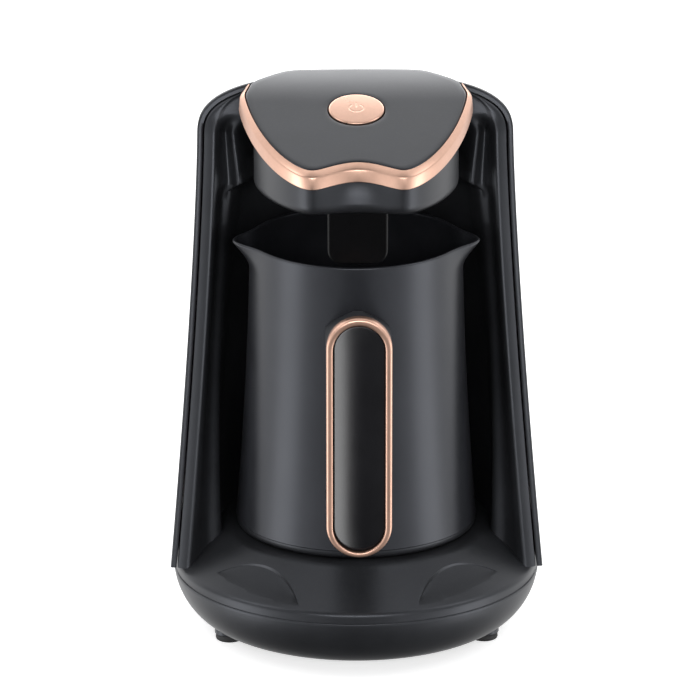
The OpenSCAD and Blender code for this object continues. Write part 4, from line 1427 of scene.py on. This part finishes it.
class COFFEE_OT_housing(bpy.types.Operator):
    """Build the front housing with its bay, and the rear shell with its vents"""

    bl_idname = "coffee.housing"
    bl_label = "Housing"

    def execute(self, context):
        face = mesh_object("housing_face", front_housing_shape(edges().ridge / MM), 50)
        way = block((-HEAD_HALF - 0.1, -60, HEAD_Z - 0.1), (HEAD_HALF + 0.1, 70, 214))
        window = block((-PLUG_HALF - 2, BAY_R - 4, PLUG_Z - 8), (PLUG_HALF + 2, BAY_R + 8,
                                                                 PLUG_Z + 8))
        cut(face, [way, window], sharp=50)
        dress(face, satin_black(), "base", "satin_black", "front_housing")
        shell = mesh_object("housing_back", rear_shell_shape(edges().rim / MM), 45)
        vents = Shape()
        for k in range(-6, 7):
            slot = stadium(1.2, 96, 120 - 1.2 * abs(k), 8, 5 * k)
            vents.add(bar(slot, BACK_Y - 14, BACK_Y + 16, along_y))
        holes = Shape()
        for x, z in SHELL_HOLES:
            depth = back_at(x, z)
            holes.add(bar(circle(3.5, 40, x, z), depth - 4.5, depth + 12, along_y))
        gland_hole = circle(GLAND_R + 0.05, 64, 0.0, GLAND_Z)
        holes.add(bar(gland_hole, BACK_Y - 12, BACK_Y + 8, along_y))
        cut(shell, [vents, holes], sharp=45)
        dress(shell, satin_black(), "base", "satin_black", "rear_shell")
        cups = turned_set(CUP_PROFILE, 40, [facing_back(x, back_at(x, z) - 9, z)
                                            for x, z in SHELL_HOLES])
        dress(mesh_object("screw_wells", cups, 40), satin_black(), "base", "satin_black")
        return {"FINISHED"}


class COFFEE_OT_head(bpy.types.Operator):
    """Build the head: its skirt, the rose trim, the lid and the level sensor's tongue"""

    bl_idname = "coffee.head"
    bl_label = "Head"

    def execute(self, context):
        skirt = mesh_object("head_skirt", head_shell_shape(), 50)
        dress(skirt, satin_black(), "base", "satin_black", "head_shell")
        trim = mesh_object("head_trim", trim_shape(edges().trim / MM), 50)
        dress(trim, rose_gold(), "base", "rose_gold", "trim_ring")
        lid = mesh_object("lid", lid_shape(edges().lid / MM), 50)
        dress(lid, lid_black(), "base", "lid_black", "top_plate")
        half, corner, window_y = TONGUE_W / 2, 6, TONGUE_Y + 5
        outline = ([(half, HEAD_Z + 5.0), (-half, HEAD_Z + 5.0)]
                   + [(-half + corner + corner * cos(a), TONGUE_Z + corner + corner * sin(a))
                      for a in span(pi, 1.5 * pi, 10)]
                   + [(half - corner + corner * cos(a), TONGUE_Z + corner + corner * sin(a))
                      for a in span(1.5 * pi, 2 * pi, 10)])
        tongue = mesh_object("sensor_tongue_cover",
                             bar(outline, TONGUE_Y, TONGUE_Y + TONGUE_T, along_y))
        cut(tongue, [bar(circle(2.7, 32, 0.0, window_y), TONGUE_Z - 4, TONGUE_Z + 8)])
        # the tongue is glossy, and the gloss black's darker colour also paints the shade that falls
        # on it under the head
        dress(soften(tongue, 1.1, 4), gloss_black(), "base", "satin_black", "sensor_tongue")
        eye = lathe([(0.0, 0.5), (1.0, 0.42), (1.9, 0.5), (2.35, 0.7), (2.5, 1.2), (2.5, 7.0),
                     (0.0, 7.0)], 40)
        eye.placed(Matrix.Translation((0, window_y, TONGUE_Z)))
        dress(mesh_object("sensor_eye", eye), dark_window(), "base", "dark_window",
              "sensor_window")
        return {"FINISHED"}


class COFFEE_OT_button(bpy.types.Operator):
    """Build the round button with its fine on mark"""

    bl_idname = "coffee.button"
    bl_label = "Button"

    def execute(self, context):
        cap = mesh_object("button_face", button_shape(edges().button / MM), 50)
        dress(cap, rose_gold_marked(), "button", "rose_gold", "button_cap")
        return {"FINISHED"}


class COFFEE_OT_pot(bpy.types.Operator):
    """Build the pot with its spouts and rolled lip, and the cap under it"""

    bl_idname = "coffee.pot"
    bl_label = "Pot"

    def execute(self, context):
        pot = mesh_object("pot", pot_shape(edges().lip / MM), 45)
        notch = block((-PLUG_HALF - 0.1, 40, VESSEL_Z - 1), (PLUG_HALF + 0.1, 52, PLUG_Z + 5.1))
        cut(pot, [notch], sharp=45)
        dress(pot, pot_black(), "pot", "pot_coat", "pot_vessel")
        r = POT_FOOT_R - 0.2
        profile = [(0.0, POT_Z), (20, POT_Z), (r - 1.6, POT_Z), (r - 1.1, POT_Z + 0.1),
                   (r - 0.3, POT_Z + 0.8), (r, POT_Z + 1.4), (r, VESSEL_Z - 0.4),
                   (r - 0.4, VESSEL_Z), (r - 2.3, VESSEL_Z), (r - 2.3, VESSEL_Z + 3.5),
                   (r - 4.3, VESSEL_Z + 3.5), (r - 4.3, VESSEL_Z), (0.0, VESSEL_Z)]
        cap = mesh_object("pot_foot", lathe(profile, 144), 30)
        wells = Shape()
        for x, y in POT_SCREWS:
            wells.add(bar(circle(3.6, 40, x, y), POT_Z - 1, POT_Z + 2.1))
        cut(cap, [wells])
        dress(cap, satin_black(), "pot", "gloss_black", "pot_base_cap")
        return {"FINISHED"}


class COFFEE_OT_handle(bpy.types.Operator):
    """Build the handle: its grip, the rose band and the gloss inlay"""

    bl_idname = "coffee.handle"
    bl_label = "Handle"

    def execute(self, context):
        grip = mesh_object("grip", grip_shape(), 45)
        dress(grip, satin_black(), "pot", "satin_black", "handle_body")
        band = mesh_object("handle_band", band_shape(edges().band / MM), 50)
        dress(band, rose_gold(), "pot", "rose_gold", "handle_frame")
        inlay = mesh_object("handle_panel", inlay_shape(), 40)
        dress(inlay, gloss_black(), "pot", "gloss_black", "handle_inlay")
        return {"FINISHED"}


class COFFEE_OT_fasteners(bpy.types.Operator):
    """Build the cross-head screws and the cord gland"""

    bl_idname = "coffee.fasteners"
    bl_label = "Fasteners and gland"

    def execute(self, context):
        under = Matrix.Rotation(pi, 4, "X")
        groups = [
            ("base_screw_set", "base", "base_screws",
             [Matrix.Translation((x, y, BOWL_Z)) @ under for x, y in COVER_POSTS],
             (1.6, 3.4, 28)),
            ("shell_screw_set", "base", "shell_screws",
             [facing_back(x, back_at(x, z) - 4.4, z) for x, z in SHELL_HOLES],
             (1.6, 3.2, 14)),
            ("pot_screw_set", "pot", "pot_screws",
             [Matrix.Translation((x, y, POT_Z + 2)) @ under for x, y in POT_SCREWS],
             (1.6, 3.3, 9.6)),
            ("handle_screw_set", "pot", "handle_screws",
             [Matrix.Translation((0, -69.8, z)) @ Matrix.Rotation(pi / 2, 4, "X")
              for z in (66.5, 147)], (1.6, 3.6, 11.7)),
        ]
        for name, body, node, places, sizes in groups:
            shape = Shape()
            for place in places:
                shape.add(screw_shape(*sizes).placed(place))
            dress(mesh_object(name, shape), bright_steel(), body, "steel", node)
        y = BACK_Y
        profile = [(CORD_R, y - 9.5), (GLAND_R + 2, y - 9.5), (GLAND_R + 2, y - 7),
                   (GLAND_R, y - 7), (GLAND_R, y), (GLAND_R + 2.1, y), (GLAND_R + 2.5, y + 0.4),
                   (GLAND_R + 2.4, y + 1.2), (GLAND_R + 1.4, y + 1.7), (GLAND_R - 1.0, y + 1.8),
                   (GLAND_R - 1.4, y + 2.0), (CORD_R + 0.7, y + 2.0), (CORD_R + 0.1, y + 1.5),
                   (CORD_R, y + 0.8), (CORD_R, y - 9.5)]
        gland = lathe(profile, 64).placed(facing_back(0, 0, GLAND_Z))
        dress(mesh_object("gland", gland, 35), rubber_black(), "base", "gloss_black",
              "cord_gland")
        return {"FINISHED"}


class COFFEE_OT_inner_parts(bpy.types.Operator):
    """Give the frame's inner parts their finishes"""

    bl_idname = "coffee.inner_parts"
    bl_label = "Inner parts"

    def execute(self, context):
        for name, finish in inner_finishes().items():
            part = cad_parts[name]
            part.data.materials.clear()
            part.data.materials.append(finish())
        return {"FINISHED"}


MIDDLE = (0, 0, 0.11)  # where the lamps point, and about where the camera does; metres
AIM_UP, AIM_LEFT = 8.9, 2.53  # how far from there the photo's middle lies; millimetres
FLOOR_GLOW = 0.62  # keeps the floor white in the camera's view
SOFT_BOXES = [  # name, place, width, height, strength; metres
    ("soft_box_left", (-1.25, -0.35, -0.25), 0.6, 1.0, 2.2),
    ("soft_box_right", (1.25, -0.35, -0.25), 0.6, 1.0, 2.2),
    ("soft_box_high_left", (-1.12, -0.22, 1.15), 0.7, 0.8, 2.4),
    ("soft_box_high_right", (1.12, -0.22, 1.15), 0.7, 0.8, 2.4),
    ("soft_box_front", (0.0, -1.9, 0.74), 1.5, 0.42, 8.5),
    ("soft_box_top", (0.0, -0.1, 1.5), 1.4, 0.34, 1.9),
    ("soft_box_back", (0.0, 1.9, 1.15), 2.4, 0.8, 3.3),
    ("soft_box_handle", (-0.66, -1.3, 0.0), 0.8, 2.4, 26.0),
]


def soft_box(name, place, target, width, height, strength):
    """A soft rectangular lamp that faces the target."""
    lamp = bpy.data.lights.new(name, "AREA")
    lamp.shape, lamp.size, lamp.size_y = "RECTANGLE", width, height
    lamp.energy = strength * pi * width * height
    made = bpy.data.objects.new(name, lamp)
    made.location = place
    made.rotation_euler = (Vector(target) - Vector(place)).to_track_quat("-Z", "Y").to_euler()
    bpy.context.scene.collection.objects.link(made)
    return made


class COFFEE_OT_stage(bpy.types.Operator):
    """Make the floor, the studio light and the camera"""

    bl_idname = "coffee.stage"
    bl_label = "Stage"

    def execute(self, context):
        scene, studio = context.scene, context.scene.coffee_studio
        scene.view_settings.view_transform = "Standard"
        floor_shape = Shape()
        floor_shape.stack([[(x * 500.0, y * 500.0, 0.0) for x in range(-16, 17)]
                           for y in range(-16, 17)])
        ground = mesh_object("floor", floor_shape)
        material, tree, shader = new_finish("floor_white", Roughness=0.9,
                                            Specular_IOR_Level=0.1)
        shader["Base Color"].default_value = (0.9, 0.9, 0.9, 1)
        shader["Emission Color"].default_value = (1, 1, 1, 1)
        path = tree.node("ShaderNodeLightPath")
        tree.join(tree.maths("MULTIPLY", path.outputs["Is Camera Ray"], FLOOR_GLOW),
                  shader["Emission Strength"])
        ground.data.materials.append(material)
        ground.visible_glossy = False

        world = bpy.data.worlds.new("studio")
        world.use_nodes = True
        scene.world = world
        tree = Tree(world.node_tree)
        back = world.node_tree.nodes["Background"]
        path = tree.node("ShaderNodeLightPath").outputs
        shown = tree.maths("MAXIMUM", path["Is Camera Ray"], path["Is Transmission Ray"])
        facing = tree.node("ShaderNodeSeparateXYZ")
        tree.join(tree.node("ShaderNodeTexCoord").outputs["Generated"], facing.inputs[0])
        # what the glossy surfaces see: bright to the sides and behind, dimmer above and below
        side = tree.stretch(tree.maths("ABSOLUTE", facing.outputs["X"]), 0.05, 0.8, 0.14, 1.35)
        lower = tree.stretch(facing.outputs["Z"], -0.14, 0.12, 1.0, 0.5)
        side = tree.maths("MULTIPLY", side, lower)
        behind = tree.stretch(facing.outputs["Y"], -0.05, 0.5, 0.1, 1.2)
        room = tree.maths("MAXIMUM", side, behind)
        for low, high, to_low, to_high in ((0.55, 0.95, 1.0, 0.7), (-0.8, -0.45, 0.25, 1.0)):
            dimmed = tree.stretch(facing.outputs["Z"], low, high, to_low, to_high)
            room = tree.maths("MULTIPLY", room, dimmed)
        glossy = tree.maths("MULTIPLY", path["Is Glossy Ray"], room)
        fill = tree.maths("MULTIPLY", tree.maths("SUBTRACT", 1.0, path["Is Glossy Ray"]),
                          studio.fill)
        light = tree.maths("ADD", glossy, fill)
        light = tree.maths("MAXIMUM", light, shown)
        tree.join(light, back.inputs["Strength"])
        back.inputs["Color"].default_value = (1, 1, 1, 1)

        lamps = [soft_box(name, place, MIDDLE, width, height, strength * studio.lamps)
                 for name, place, width, height, strength in SOFT_BOXES]
        lit = bpy.data.collections.new("handle_light")
        lit.objects.link(bpy.data.objects["handle_panel"])
        lamps[-1].light_linking.receiver_collection = lit  # the last box lights the inlay alone

        lens = bpy.data.cameras.new("photo_camera")
        lens.lens, lens.sensor_width, lens.sensor_fit = studio.lens, 36.0, "HORIZONTAL"
        lens.clip_start, lens.clip_end = 0.01, 100.0
        camera = bpy.data.objects.new("photo_camera", lens)
        rise, turn = studio.elevation, studio.azimuth
        away = Vector((sin(turn) * cos(rise), -cos(turn) * cos(rise), sin(rise)))
        right = Vector((cos(turn), sin(turn), 0))
        up = right.cross(-away).normalized()
        camera.location = Vector(MIDDLE) + away * studio.distance
        aim = Vector(MIDDLE) + up * AIM_UP * MM - right * AIM_LEFT * MM
        camera.rotation_mode = "QUATERNION"
        camera.rotation_quaternion = (aim - camera.location).to_track_quat("-Z", "Y")
        scene.collection.objects.link(camera)
        scene.camera = camera
        return {"FINISHED"}


class COFFEE_PT_panel(bpy.types.Panel):
    """The steps that dress the frame, in order"""

    bl_label = "Coffee maker"
    bl_idname = "COFFEE_PT_panel"
    bl_space_type = "VIEW_3D"
    bl_region_type = "UI"
    bl_category = "Coffee maker"

    def draw(self, context):
        for group in ("coffee_edges", "coffee_colours", "coffee_studio"):
            box = self.layout.box()
            settings = getattr(context.scene, group)
            for name in settings.bl_rna.properties.keys():
                if name not in ("rna_type", "name"):
                    box.prop(settings, name)
        for operator in STEPS:
            self.layout.operator(operator.bl_idname)


SETTINGS = (EdgeSizes, FinishColours, StudioSettings)
STEPS = (COFFEE_OT_base, COFFEE_OT_housing, COFFEE_OT_head, COFFEE_OT_button, COFFEE_OT_pot,
         COFFEE_OT_handle, COFFEE_OT_fasteners, COFFEE_OT_inner_parts, COFFEE_OT_stage)


def register():
    for made in SETTINGS + STEPS + (COFFEE_PT_panel,):
        bpy.utils.register_class(made)
    bpy.types.Scene.coffee_edges = PointerProperty(type=EdgeSizes)
    bpy.types.Scene.coffee_colours = PointerProperty(type=FinishColours)
    bpy.types.Scene.coffee_studio = PointerProperty(type=StudioSettings)


def unregister():
    del bpy.types.Scene.coffee_edges
    del bpy.types.Scene.coffee_colours
    del bpy.types.Scene.coffee_studio
    for made in reversed(SETTINGS + STEPS + (COFFEE_PT_panel,)):
        bpy.utils.unregister_class(made)


def main():
    register()
    bpy.ops.coffee.base()
    bpy.ops.coffee.housing()
    bpy.ops.coffee.head()
    bpy.ops.coffee.button()
    bpy.ops.coffee.pot()
    bpy.ops.coffee.handle()
    bpy.ops.coffee.fasteners()
    bpy.ops.coffee.inner_parts()
    bpy.ops.coffee.stage()


if __name__ == "__main__":
    main()
